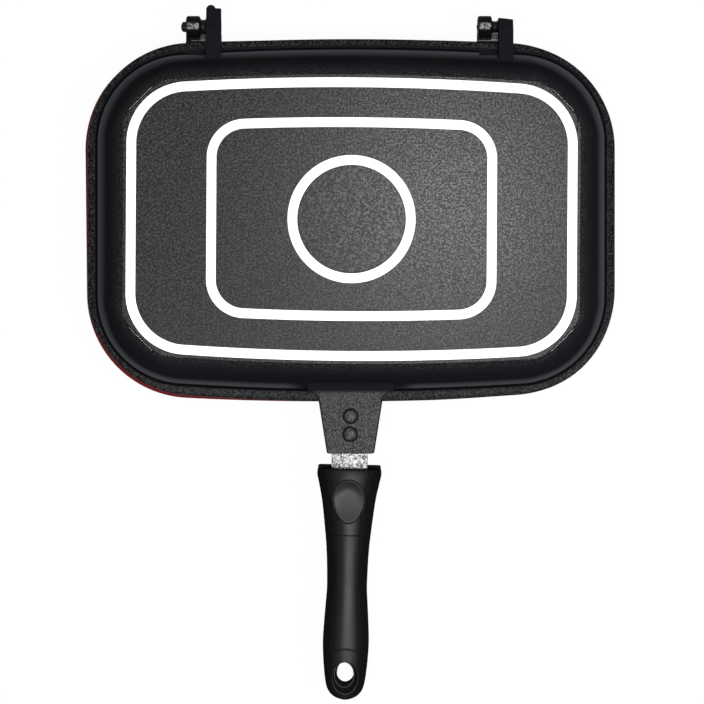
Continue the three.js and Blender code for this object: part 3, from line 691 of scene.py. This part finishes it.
def outerRing(inset=0):
    margin = tray["ringMargin"]
    return bowedOutline((baseX - margin, baseY - margin, tray["outerRadius"]), inset)


def innerRing(inset=0):
    return bowedOutline(tray["inner"], inset)


def circle(inset=0, radius=None):
    guide = innerRing()
    angles = np.arctan2(guide[:, 1], guide[:, 0])
    radius = tray["circle"] if radius is None else radius
    return (radius - inset) * np.column_stack([np.cos(angles), np.sin(angles)])


def bezier(a, b, c, count):
    t = np.linspace(0, 1, count)[:, None]
    return a * (1 - t) ** 2 + 2 * b * t * (1 - t) + c * t * t


# the base's outline, with a facet across each corner
def facetedOutline(inset=0, blend=None):
    halfX, halfY, bow = baseX - inset, baseY - inset, tray["bow"]
    blend = tray["facetBlend"] if blend is None else blend
    diagonal = sqrt(0.5)
    facetSum = outerRing()[tray["sideSteps"] + cornerLast // 2].sum() + (tray["facetMargin"] - inset) / diagonal
    longX = bow - sqrt(bow * bow - 2 * bow * (facetSum - halfY))

    def edge(x):
        return np.array([x, halfY - x * x / (2 * bow)])

    sideTurn, longTurn = np.array([halfX, facetSum - halfX]), edge(longX)
    along = np.array([-diagonal, diagonal])
    first, last = sideTurn + along * blend, longTurn - along * blend
    bulge = first + (last - first) / 2 + tray["facetBulge"] * 2 * diagonal
    corner = np.vstack([
        bezier(sideTurn - (0, blend), sideTurn, first, 11),
        bezier(first, bulge, last, 17)[1:],
        bezier(last, longTurn, edge(longX - blend), 11)[1:],
    ])
    end = longX - blend
    longSide = np.array([edge(end * (1 - i / tray["bowSteps"])) for i in range(1, tray["bowSteps"])])
    return wholeOutline(np.vstack([corner, longSide]), halfY)


# 1 along each facet of the base's outline, 0 elsewhere
def facetWeight():
    steps = np.arange(cornerLast + 1)
    corner = ramp(steps, *tray["facetRise"]) * (1 - ramp(steps, *tray["facetFall"]))
    quarter = np.concatenate([np.zeros(tray["sideSteps"] - 1), corner, np.zeros(tray["bowSteps"] - 1)])
    return np.concatenate([[0], quarter, [0], quarter[::-1], [0], quarter, [0], quarter[::-1]])


# numbers of the tray's materials: 0 base, 1 ring, 2 wall, 3 flange, 4 inside, 6 plain satin, 7 base margin
def trayPart(isLower):
    top, edge, ring, flange, rimInset = picked(tray, "height edge ring flange rimInset")
    low, way = baseHeight, -1 if isLower else 1
    loops, numbers = [], []

    def add(outline, height, number):
        loops.append(flat(outline, height))
        numbers.append(number)

    def addRows(outlineAt, rows, number):
        for inset, height in rows:
            add(outlineAt(inset), height, number)

    def addBase(outlineAt, rows):
        for inset, height, number in rows:
            add(baseTurned(outlineAt(inset)), height, number)

    disc = tray["circle"] - ring - tray["circleGroove"]
    discRows = [(disc / 2, top, 0), (edge, top, 0), (0, top - edge, 0), (0, low, 0)]
    addBase(lambda inset: circle(inset, disc), discRows)
    ringRows = [(ring, low, 0), (ring, top - edge, 1), (ring - edge, top, 1)]
    ringRows += [(edge, top, 1), (0, top - edge, 0), (0, low, 0)]
    for outlineAt in (circle, innerRing, outerRing):
        addBase(outlineAt, ringRows)
    weight, crease = facetWeight(), len(loops)
    sunken = low - tray["notch"] * weight
    addBase(facetedOutline, zip(tray["creaseInsets"], (low, sunken, sunken, low, low), [7] * 5))
    foot, base = wallFoot(), baseTurned(facetedOutline())
    for run, rise in smoothRun(tray["wallRun"], tray["wallSamples"])[::-1]:
        height = flange + rise * (low - flange)
        add(foot + (base - foot) * run, height, 7 if height > tray["marginFrom"] else 2)
    addRows(wallFoot, tray["riser"], 2)
    # on the upper tray the flat band from here out to the shelf is plain dark satin instead of grain: painted shade
    # at the riser's foot
    add(wallFoot(tray["riserFoot"]), flange, 3 if isLower else 6)
    shelf = wallFoot(tray["shelfInset"])
    shelf[:, 1] += tray["shelf"] * ramp(shelf[:, 1], *tray["shelfRange"])
    add(shelf, flange, 3)
    addRows(lambda inset: rimOutline(inset, way), tray["rim"], 3)
    add(rimOutline(tray["rimMouth"], way), 0, 3 if isLower else 4)
    if isLower:
        addRows(footOutline, tray["sealGroove"], 4)
    add(footOutline(rimInset - tray["mouthRound"]), 0, 4)
    mouth, bottom = footOutline(rimInset), facetedOutline(tray["wall"])
    for run, rise in smoothRun(tray["cavityRun"], tray["cavitySamples"])[1:]:
        add(mouth + (bottom - mouth) * run, rise * floorHeight, 4)
    add(bottom * tray["floorShare"], floorHeight, 4)
    made = loft(loops, numbers, "hubs")
    for k in np.flatnonzero(weight > tray["creaseShare"]):  # along each crease, a line of the rings' metal as a painted highlight, and in the sunken groove a line of the wall's coat, dark satin on the upper tray, as painted shade
        made["numbers"][(crease + 3) * len(weight) + k] = 1
        made["numbers"][(crease + 1) * len(weight) + k] = 2
    return made


# places along Y, halves of widths along X and heights above the rim
bracket = {
    "base": 0.3, "height": 12, "endY": -159.25, "endHalf": 15.3, "rootHalf": 20.85, "shift": -0.5,
    "edgeY": -124, "flareHalf": 29.9, "footY": -115.9, "rootEndY": -110.6, "filletY": -118.5, "filletRadius": 9.6,
    "round": 0.9, "endRound": 0.8, "endRows": (1.6, 1.1, 0.7, 0.4, 0.2, 0.07, 0), "draft": 0.9, "lowEdge": 0.3,
    "flatShares": (0, 0.2, 0.4, 0.6, 0.75, 0.86, 0.94), "edgeTurns": (0, 18, 36, 54, 72, 90), "riseFade": (0.8, 1),
    "slotHalf": 12.6, "slotLow": 3.2, "slotHigh": 7.8, "tangStart": -127.7,
    "rivets": (-133.65, -145.95), "tailRadius": 4.5, "tailDepth": 1.6, "lowSide": 2,
}


# the handle's bracket, which flares and rises into the wall; its low side faces get number 1
def bracketPart(way):
    endY, edgeY, footY, filletY = picked(bracket, "endY edgeY footY filletY")
    endHalf, rootHalf, flareHalf = picked(bracket, "endHalf rootHalf flareHalf")
    base, low, bend, radius = picked(bracket, "base lowEdge round filletRadius")
    endRows = endY + np.array(bracket["endRows"])
    ys = np.concatenate([
        np.linspace(bracket["rootEndY"], footY, 9), np.linspace(footY, edgeY, 17)[1:],
        np.linspace(edgeY, endRows[0], 18)[1:], endRows[1:],
    ])
    flatShares, turns = np.array(bracket["flatShares"]), np.radians(bracket["edgeTurns"])
    loops = []
    for y in ys:
        t = np.clip((y - edgeY) / (footY - edgeY), 0, 1)
        half = endHalf + (rootHalf - endHalf) * np.clip((y - endY) / (edgeY - endY), 0, 1)
        half += (flareHalf - rootHalf) * (1 - sqrt(1 - t * t))
        drop = bend - sqrt(bend ** 2 - max(0, bend - (y - endY)) ** 2)
        half -= drop * bracket["endRound"]
        rise = radius - sqrt(radius ** 2 - np.clip(y - filletY, 0, radius) ** 2)
        xs = np.concatenate([flatShares * (half - bend), half - bend + bend * np.sin(turns)])
        down = np.concatenate([np.zeros(len(flatShares)), bend * (1 - np.cos(turns))])
        zs = bracket["height"] + rise * (1 - ramp(xs / half, *bracket["riseFade"])) - down - drop
        foot = half + bracket["draft"]
        right = np.vstack([np.column_stack([xs, zs]), [[foot, base + low], [foot - low, base]]])
        xs, zs = np.vstack([right[1:][::-1] * (-1, 1), right]).T
        loops.append(np.column_stack([xs + bracket["shift"] * way, np.full(len(xs), y), zs]))
    made = loft(loops, 0)
    for k, face in enumerate(made["faces"]):
        if len(face) == 4 and made["points"][face][:, 2].min() < bracket["lowSide"]:
            made["numbers"][k] = 1
    return made


def bracketTools(half):
    slotHalf, depth, radius = bracket["slotHalf"], bracket["tailDepth"], bracket["tailRadius"]
    endY, startY = bracket["endY"] - 3, bracket["tangStart"]
    slot = block(-slotHalf, slotHalf, endY, startY, bracket["slotLow"], bracket["slotHigh"])
    holes = [turned([(-2, radius), (depth, radius)], (0, y, 0), steps=40) for y in bracket["rivets"]]
    return [leaning(tool, half) for tool in (slot, *holes)]


# a lug's outline is given as places behind the pin and heights, and its bump as pairs for turned()
hinge = {
    "left": {
        "lug": -94, "pinProud": 3.6, "pinHead": 3.55, "collar": 4.9, "bevel": 1.1, "slant": 0.03, "skirt": 3.2,
        "corners": [(-24, 13), (-2.8, 13), (5.6, 8), (12.6, 5), (12.6, -2.3), (6.4, -2.3)],
        "radii": [0, 2.5, 2.5, 1.6, 1, 0], "bossFrom": -21,
        "bump": [(-0.3, 3), (0, 3.2), (3.9, 3.2), (4.6, 2.8), (4.9, 2)],
    },
    "right": {
        "lug": 105.3, "pinProud": 0.8, "pinHead": 3.15, "collar": 3.9, "bevel": 0.7, "slant": 0.11, "skirt": 0.3,
        "corners": [(-24, 13), (-2.8, 13), (5.6, 8), (5.6, 1)], "radii": [0, 2.5, 2, 0], "bossFrom": 0,
        "bump": [],
    },
    "lugWidth": 10.1, "boss": 5.6, "bossTo": -186, "lugFoot": (-20.4, 0.3), "slantOver": 5,
    "bumpPlace": (3.2, 11.5), "collarLength": 4.2, "barrelLength": 9.6, "barrel": 7.5, "pin": 3.15, "pinRoot": 8,
}
sides = (hinge["left"], hinge["right"])


def places(side):
    left = side["lug"] - hinge["lugWidth"] / 2
    barrelRight = left - hinge["collarLength"]
    barrelLeft = barrelRight - hinge["barrelLength"]
    return left, side["lug"] + hinge["lugWidth"] / 2, barrelLeft, barrelRight


def lugPart(side):
    left, right, _, _ = places(side)
    boss = hinge["boss"]
    turn = np.radians(np.linspace(side["bossFrom"], hinge["bossTo"], 26))
    arc = np.column_stack([hingeY + boss * np.cos(turn), axisHeight + boss * np.sin(turn)])
    back, foot = hinge["lugFoot"]
    outline = roundedPolygon(side["corners"], side["radii"]) + (hingeY, 0)
    profile = np.vstack([outline, arc, [[hingeY + back, foot]]])
    body = bevelled(prismX(profile, left, right), [satin], side["bevel"], 4)
    points = body["points"]
    points[:, 1] -= side["slant"] * (points[:, 0] - left) * ramp(points[:, 1], hingeY, hingeY + hinge["slantOver"])
    if not side["bump"]:
        return body
    across, behind = hinge["bumpPlace"]
    return together([body, turned(side["bump"], (left + across, hingeY + behind, 0), steps=40)])


# the lower tray's arm is drawn turned over; blocks are given by their ranges along Y and Z
arm = {
    "platform": [(111, 3.5), (122.6, 3.5), (hingeY - 4.1, 5.4), (hingeY - 4.1, 13), (105.5, 20)],
    "platformRadii": [0, 0.8, 0.5, 1.5, 0], "bareBelow": 5.6, "bareBehind": 120, "seat": 6.2, "bore": 3.45,
    "web": [(-hinge["barrel"], 13), (-4.1, 13), (3, 11.5), (hinge["barrel"], 6)], "lap": 0.3, "lugGap": 0.12,
    "neck": (hingeY - 5.5, hingeY - 3.1, 5.4, 12.5), "front": (hingeY - 8.6, hingeY - 3, -1, 6.5),
    "skirt": (hingeY - 10, hingeY - 4, 1.5, 6.5), "cover": (117, 122.7, -0.22, 0.6),
}


# platform, barrel with its front and skirt, neck and cover; numbers: 0 lacquer, 1 bare casting, 2 barrel
def armPart(side):
    coats, axis = [lacquer, casting, barrelMetal], (0, hingeY, axisHeight)
    left, right, barrelLeft, barrelRight = places(side)
    body = prismX(roundedPolygon(arm["platform"], arm["platformRadii"], 5), -right, -barrelLeft)
    body["numbers"] = [1 if onTop(body, face) else 0 for face in body["faces"]]
    seat = turned([(-right - 2, arm["seat"]), (-left + 0.6, arm["seat"])], axis, "x", 56)
    body = carved(bevelled(body, coats, 0.5, 2), coats, [seat])
    radius, lap, gap = hinge["barrel"], arm["lap"], arm["lugGap"]
    turn = np.radians(np.linspace(-186, 6, 40))
    arc = np.column_stack([hingeY - radius * np.cos(turn), axisHeight + radius * np.sin(turn)])
    web = np.vstack([arc, np.array(arm["web"]) + (hingeY, 0)])
    barrel = bevelled(prismX(web, -barrelRight, -barrelLeft, 2), coats, 1.5, 4)
    bore = turned([(-barrelRight - 2, arm["bore"]), (-barrelLeft + 2, arm["bore"])], axis, "x", 48)
    neck = block(-left + gap, -barrelRight + lap, *arm["neck"], 1)
    front = bevelled(block(-barrelRight, -barrelLeft, *arm["front"], 2), coats, 0.8, 3)
    skirt = block(-barrelLeft - side["skirt"], -barrelLeft + lap, *arm["skirt"], 2)
    cover = block(-left + gap, -barrelLeft + lap, *arm["cover"], 2)
    return together([body, neck, front, skirt, cover, carved(barrel, coats, [bore])])


def onTop(made, face):
    corners = made["points"][face]
    return corners[:, 2].max() < arm["bareBelow"] and corners[:, 1].min() > arm["bareBehind"]


pinShape = {"dome": 2, "domeStart": 0.12, "collarGap": 0.3, "collarDish": 0.9}


# a pin with its domed end in sight, its collar and the root that sits in the lug
def pinPart(side):
    left, right, barrelLeft, barrelRight = places(side)
    length, start, gap, depth = picked(pinShape, "dome domeStart collarGap collarDish")
    pin, head, end = hinge["pin"], side["pinHead"], barrelLeft - side["pinProud"]
    turn = np.linspace(start, pi / 2, 9)
    dome = [(end + length * (1 - cos(t)), head * sin(t)) for t in turn]
    dome.append((max(barrelLeft - 0.3, end + length + 0.05), head))
    dome.append((max(barrelLeft - 0.2, end + length + 0.15), pin))
    middle, reach = (barrelRight + left) / 2, (left - barrelRight) / 2 - gap
    collar = []
    for t in np.linspace(-1, 1, 15):
        dish = depth * (1 - sqrt(max(0, 1 - abs(t) ** 3)))
        collar.append((middle + reach * t, side["collar"] + dish))
    pairs = [*dome, (barrelRight + 0.25, pin), *collar, (left - 0.25, pin), (left + hinge["pinRoot"], pin)]
    return turned(pairs, (0, hingeY, axisHeight + halves["upper"]["height"]), "x", 48)


# each row of a rib is its width, how far its ends draw in, and its height from the floor
rib = {
    "pitch": 18, "margin": 10, "steps": 9, "blend": 8.5,
    "rows": [(4, 0, 0.5), (4, 0, 0), (3.5, 0.4, -0.9), (3.0, 0.9, -1.9), (2.6, 1.3, -2.35), (1.8, 1.7, -2.6)],
}


# the straight ribs on the cooking side
def ribParts():
    outline = facetedOutline(tray["wall"], rib["blend"])
    count = int(outline[tray["sideSteps"] + cornerLast][0] // rib["pitch"])
    turn = np.linspace(0, pi, rib["steps"])
    ribs = []
    for i in range(-count, count + 1):
        x = rib["pitch"] * i
        halfLength = baseY - tray["wall"] - rib["margin"] - x * x / (2 * tray["bow"])
        loops = []
        for width, drop, height in rib["rows"]:
            radius = width / 2
            end = np.column_stack([radius * np.cos(turn), halfLength - drop - radius + radius * np.sin(turn)])
            loops.append(flat(np.vstack([end, -end]) + (x, 0), floorHeight + height))
        ribs.append(loft(loops, 4))
    return ribs


# play in the hinge leaves the lower tray a little askew
def askew(made):
    points = spun(made["points"], -tray["turn"])
    points[:, 0] += tray["shift"]
    return {**made, "points": points}


seal = {"rows": [
    (0.05, 2.15), (0, 1.9), (0, 0), (0.25, -0.25), (0.6, -0.3),
    (1.8, -0.3), (2.15, -0.25), (2.4, 0), (2.4, 1.9), (2.35, 2.15),
]}
# cut out of the upper tray's foot beside each lug, so that the barrels have room
wallNotch = {"reach": 13, "profile": np.array([[115.9, 4.02], [130, 4.02], [130, 10.5], [111.3, 10.5], [113, 5]])}


def sealPart():
    return loft([flat(footOutline(inset), height) for inset, height in seal["rows"]], 0, "round")


def makeTrays():
    upper = [baseGrain, metal, satin, flangeGrain, inside, bracketGrain, plainSatin, marginGrain]
    lefts = [places(side)[0] for side in sides]
    # the notches' cut faces take the plain dark satin, as painted shade in the notches
    notches = [prismX(wallNotch["profile"], left - wallNotch["reach"], left, 6) for left in lefts]
    body = carved(trayPart(False), upper, notches)
    plate = carved(bracketPart(1), [bracketGrain, plainSatin], bracketTools(halves["upper"]))
    plate["numbers"] = [5 + number for number in plate["numbers"]]
    lugs = [numbered(lugPart(side), 6) for side in sides]
    whole = together([body, plate, *lugs])
    settle("upperPanShell", whole, upper, halves["upper"], "upper_pan_shell")
    print("upper tray ready")

    lower = [lacquer, metal, lacquer, rimLacquer, inside, casting, barrelMetal, lacquer]
    body = askew(together([trayPart(True), *ribParts()]))
    plate = numbered(carved(bracketPart(-1), [lacquer, lacquer], bracketTools(halves["lower"])), 0)
    arms = [armPart(side) for side in sides]
    for one in arms:
        one["numbers"] = [{0: 0, 1: 5, 2: 6}[number] for number in one["numbers"]]
    whole = together([body, plate, *arms])
    settle("lowerPanShell", whole, lower, halves["lower"], "lower_pan_shell")
    settle("lowerRimSeal", askew(sealPart()), [looks["silicone"]], halves["lower"], "lower_rim_seal")
    for key in ("left", "right"):
        pin = pinPart(hinge[key])
        standing(key + "HingePin", pin, [looks["darkSteel"]], "hinge_pins", key + "_hinge_pin")
    print("lower tray and pins ready")


makeTrays()


# rows give the place along the grip and the shares of its half width and thickness there
grip = {
    "startY": -169.6, "length": 157.6, "half": 22, "thick": 18,
    "rows": [
        (0, 0.99, 0.95), (0.02, 1, 0.985), (0.057, 0.95, 1), (0.127, 0.847, 0.99), (0.196, 0.779, 0.965),
        (0.266, 0.721, 0.93), (0.336, 0.671, 0.89), (0.405, 0.642, 0.86), (0.51, 0.623, 0.84), (0.58, 0.651, 0.845),
        (0.65, 0.685, 0.86), (0.755, 0.717, 0.87), (0.82, 0.696, 0.84), (0.892, 0.648, 0.76), (0.927, 0.61, 0.7),
        (0.953, 0.56, 0.63), (0.979, 0.44, 0.53), (0.993, 0.3, 0.47), (0.9975, 0.21, 0.45), (0.9993, 0.135, 0.445),
        (1, 0.055, 0.44),
    ],
    "samples": 110, "startRows": [(0, 0.9), (0.12, 0.5), (0.4, 0.18), (0.9, 0)], "turns": 45,
    "low": 0.9, "lowShare": 0.2, "lowEdge": (0.28, 0.14),
    "seams": (-214.9, -291.9), "seamReach": 1.3, "seamSteps": 14, "seamDepth": 0.32, "seamWidth": 0.24,
    "ridges": (0.55, -0.6), "ridgeHeight": 0.12, "ridgeWidth": 0.3, "seamArc": 0.032, "arcReach": 11,
    "dullFrom": 29, "darkFrom": 40,
    "lipReach": 2.6, "lipHalf": 21.5, "lipRadius": 2,
    "lip": [(0.5, 0), (0.15, 0.1), (0, 0.5), (0, 2.4), (0.18, 2.82), (0.6, 3)],
    "hole": (-308.7, 12, 14.4), "holeTop": 5.5, "mouth": (-311.7, 17, 22), "mouthLow": 8,
    "tangSlot": (-12.6, 12.6, -174.9, -160, 3.2, 7.8), "magnetY": -230.6, "coverRadius": 7.8,
}
egg = {
    "y": -189.6, "half": 10.5, "front": 12.6, "rear": 16.9, "pinch": 0.1, "steps": 96, "floor": 12,
    "sink": 0.5, "deep": 13.6, "hub": 5,
}


gripLine = smoothRun(np.array(grip["rows"]) * picked(grip, "length half thick"), grip["samples"])


def gripSpan(y):
    return np.interp(grip["startY"] - y, gripLine[:, 0], gripLine[:, 1])


def gripCrown(x, y):
    span = gripSpan(y)
    thick = np.interp(grip["startY"] - y, gripLine[:, 0], gripLine[:, 2])
    return thick * np.sqrt(np.clip(1 - (x / span) ** 2, 0, 1))


# degrees that a face leans from level
def tiltOf(corners):
    normal = np.cross(corners[2] - corners[0], corners[-1] - corners[1])
    return np.degrees(np.arccos(np.clip(abs(normal[2]) / max(np.linalg.norm(normal), 1e-9), 0, 1)))


def bell(place, width):
    return exp(-(place / width) ** 2)


# the crown faces get number 0, the steep sides 1 and the shoulders between them 2
def gripBody():
    start, seams, seamReach = picked(grip, "startY seams seamReach")
    stations = [start - along for along in gripLine[1:, 0]]
    for seam in seams:
        stations += list(seam + np.linspace(-seamReach, seamReach, grip["seamSteps"]))
    stations = sorted({round(y, 3) for y in stations if y < start - 1}, reverse=True)
    rows = [(start - along, inset) for along, inset in grip["startRows"]] + [(y, 0) for y in stations]
    loops = []
    for y, inset in rows:
        span = gripSpan(y) - inset
        low = min(grip["low"], span * grip["lowShare"])
        thick = np.interp(start - y, gripLine[:, 0], gripLine[:, 2]) - inset
        first = asin(min(0.9, low / thick))
        turn = np.linspace(pi - first, first, grip["turns"])
        edge, edgeUp = span - grip["lowEdge"][0] * low, grip["lowEdge"][1] * low
        xs = np.concatenate([[low - span, -edge], span * np.cos(turn), [edge, span - low]])
        zs = np.concatenate([[0, edgeUp], thick * np.sin(turn), [edgeUp, 0]])
        bend = bell(y - seams[1], grip["arcReach"])
        ys = y - grip["seamArc"] * bend * xs ** 2
        groove = 0
        for seam, ridge in zip(seams, grip["ridges"]):
            groove -= grip["seamDepth"] * bell(y - seam, grip["seamWidth"])
            groove += grip["ridgeHeight"] * bell(y - seam - ridge, grip["ridgeWidth"])
        deep = 1 + groove / grip["thick"]
        wide = deep * gripSpan(ys) / gripSpan(y) if bend > 0.01 else deep
        loops.append(np.column_stack([xs * wide, ys, zs * deep]))
    made = loft(loops, 0)
    for k, face in enumerate(made["faces"]):
        tilt = tiltOf(made["points"][face])
        made["numbers"][k] = 0 if tilt < grip["dullFrom"] else 2 if tilt < grip["darkFrom"] else 1
    return made


# the inlay's egg-shaped outline
def eggOutline(grow=0):
    turn = around(egg["steps"])
    inFront = np.sin(turn) > 0
    reach = np.where(inFront, egg["front"], egg["rear"]) + grow
    pinch = np.where(inFront, 1, 1 - egg["pinch"] * np.sin(turn) ** 2)
    return np.column_stack([(egg["half"] + grow) * pinch * np.cos(turn), egg["y"] + reach * np.sin(turn)])


def followCrown(outline, offset):
    return flat(outline, gripCrown(*outline.T) + offset)


def eggTool():
    rows = [flat(eggOutline(0.3), egg["floor"])]
    for grow, offset in ((0.3, -0.45), (0.36, -0.16), (0.6, 0.06), (1.6, 0.6)):
        rows.append(followCrown(eggOutline(grow), offset))
    return loft([*rows, flat(eggOutline(1.6), 30)], 0)


def ellipse(place, grow=0):
    y, width, length = place
    turn = around(64)
    return np.column_stack([(width + grow) / 2 * np.cos(turn), y + (length + grow) / 2 * np.sin(turn)])


# the hanging hole: a round bore that widens into an oval mouth
def holeTool():
    bore, mouth = np.array(grip["hole"]), np.array(grip["mouth"])
    top, mouthLow = grip["holeTop"], grip["mouthLow"]
    rows = [flat(ellipse(bore, grow), height) for grow, height in ((2, -1), (0.5, 0.25), (0, 0.9), (0, top))]
    for t in (0.3, 0.7):
        partWay = bore + (mouth - bore) * (t, t ** 0.7, t ** 0.7)
        rows.append(flat(ellipse(partWay), top + (mouthLow - top) * t))
    rows.append(flat(ellipse(mouth), mouthLow))
    for grow, offset in ((0, -0.5), (0.2, -0.2), (0.7, 0.05), (2, 0.8)):
        rows.append(followCrown(ellipse(mouth, grow), offset))
    return loft([*rows, flat(ellipse(mouth, 2), 30)], 1)


# a thin round bead along an outline
def beadPart(outline, heights, radius):
    outward = outline - outline.mean(axis=0)
    outward = outward / np.linalg.norm(outward, axis=1)[:, None] * radius
    loops = [flat(outline + outward * cos(t), heights + radius * sin(t)) for t in around(10)]
    return loft(loops, 0, "round")


# beads round the mouth and round the bore below it, which catch the light
beads = {
    "rimGrow": 0.5, "rimSink": 0.3, "rimRadius": 0.42,
    "bore": (-310, 13.6, 17.4), "boreX": -0.6, "boreHeight": 6.4, "boreRadius": 0.6,
}


def holeBeads():
    rim, bore = ellipse(grip["mouth"], beads["rimGrow"]), ellipse(beads["bore"]) + (beads["boreX"], 0)
    return [
        beadPart(rim, gripCrown(*rim.T) - beads["rimSink"], beads["rimRadius"]),
        beadPart(bore, np.full(len(bore), beads["boreHeight"]), beads["boreRadius"]),
    ]


# the lip at the grip's front end
def lipPart():
    start, reach, half, radius = picked(grip, "startY lipReach lipHalf lipRadius")
    loops = []
    for inset, height in grip["lip"]:
        x, y, back = half - inset, start + reach - inset, start - 1
        outline = roundedPolygon([(-x, back), (x, back), (x, y), (-x, y)], [0, 0, radius, radius], 8)
        loops.append(flat(outline, height))
    return loft(loops, 1)


def gripPart(half):
    radius = grip["coverRadius"]
    coverSeat = turned([(-1, radius), (1, radius)], (0, grip["magnetY"], 0))
    body = carved(gripBody(), gripCoats, [block(*grip["tangSlot"]), holeTool(), eggTool(), coverSeat])
    return leaning(together([body, lipPart(), *holeBeads()]), half)


# the inlay, which dips a little towards its middle
def inlayPart(half):
    floor, deep, sink, hub, y = picked(egg, "floor deep sink hub y")
    loops = [flat(eggOutline(-0.2), floor + 0.1)]
    for grow, offset in ((-0.05, -0.6), (-0.12, -0.2), (-0.35, 0)):
        loops.append(followCrown(eggOutline(grow), offset - sink))
    rim = eggOutline(-0.7)
    rimHeight = gripCrown(*rim.T) - sink - 0.05
    for share in np.linspace(1, 0.05, 20):
        outline = (rim - (0, y)) * share + (0, y + hub * (1 - share))
        loops.append(flat(outline, deep + (rimHeight - deep) * share ** 2))
    return leaning(loft(loops, 0, "hubs"), half)


tang = {
    "half": 12.3, "startY": -128, "endY": -174.6, "cornerRadius": 1,
    "rows": [(0.5, 3.5), (0.15, 3.65), (0, 4), (0, 7), (0.15, 7.35), (0.5, 7.5)],
}


def tangPart(half):
    loops = []
    for inset, height in tang["rows"]:
        x, y0, y1 = tang["half"] - inset, tang["startY"] - inset, tang["endY"] + inset
        loops.append(flat(roundedPolygon([(x, y1), (x, y0), (-x, y0), (-x, y1)], tang["cornerRadius"], 4), height))
    return leaning(loft(loops, 0), half)


rivet = {
    "headBase": 12.1, "headRadius": 5.4, "headHeight": 3.3, "sideHeight": 0.6, "shoulder": 2.3, "shank": 2.5,
    "tail": [(0.3, 3.6), (0.45, 4.0), (0.75, 4.2), (1.5, 4.2)], "domeTo": 1.45, "domeSteps": 12,
}


# tail, shank, and a head with a flat shoulder round its dome
def rivetPart(y, half):
    radius, base, shank, tail = picked(rivet, "headRadius headBase shank tail")
    inner, edge = radius - rivet["shoulder"], base + rivet["sideHeight"]
    pairs = [*tail, (tail[-1][0], shank), (base, shank), (base, radius - 0.3), (base + 0.12, radius)]
    pairs += [(edge, radius - 0.15), (edge + 0.4, radius - 0.45), (edge + 0.95, inner + 0.9)]
    start = edge + 1.35
    rise = base + rivet["headHeight"] - start
    turn = np.linspace(0, rivet["domeTo"], rivet["domeSteps"])
    pairs += [(start + rise * sin(t), inner * cos(t)) for t in turn]
    return leaning(turned(pairs, (0, y, 0), steps=56), half)


carriedOver = {"grip_screw": "polishedSteel", "magnet": "ferrite", "magnet_cover": "polishedSteel"}


def makeHandles():
    for key, half in halves.items():
        settle(key + "Grip", gripPart(half), gripCoats, half, key + "_grip")
        inlay = inlayPart(half)
        settle(key + "ThumbInlay", inlay, [looks["inlayPlastic"]], half, key + "_thumb_inlay")
        settle(key + "Tang", tangPart(half), [looks["tangSteel"]], half, key + "_tang")
        for place, y in zip(("Inner", "Outer"), bracket["rivets"]):
            made, node = rivetPart(y, half), key + "_rivet_" + place.lower()
            settle(key + "Rivet" + place, made, [looks["darkSteel"]], half, node)
        for node, look in carriedOver.items():
            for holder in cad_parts[key + "_" + node].material_slots:
                holder.material = looks[look]
        print(key, "handle ready")


makeHandles()
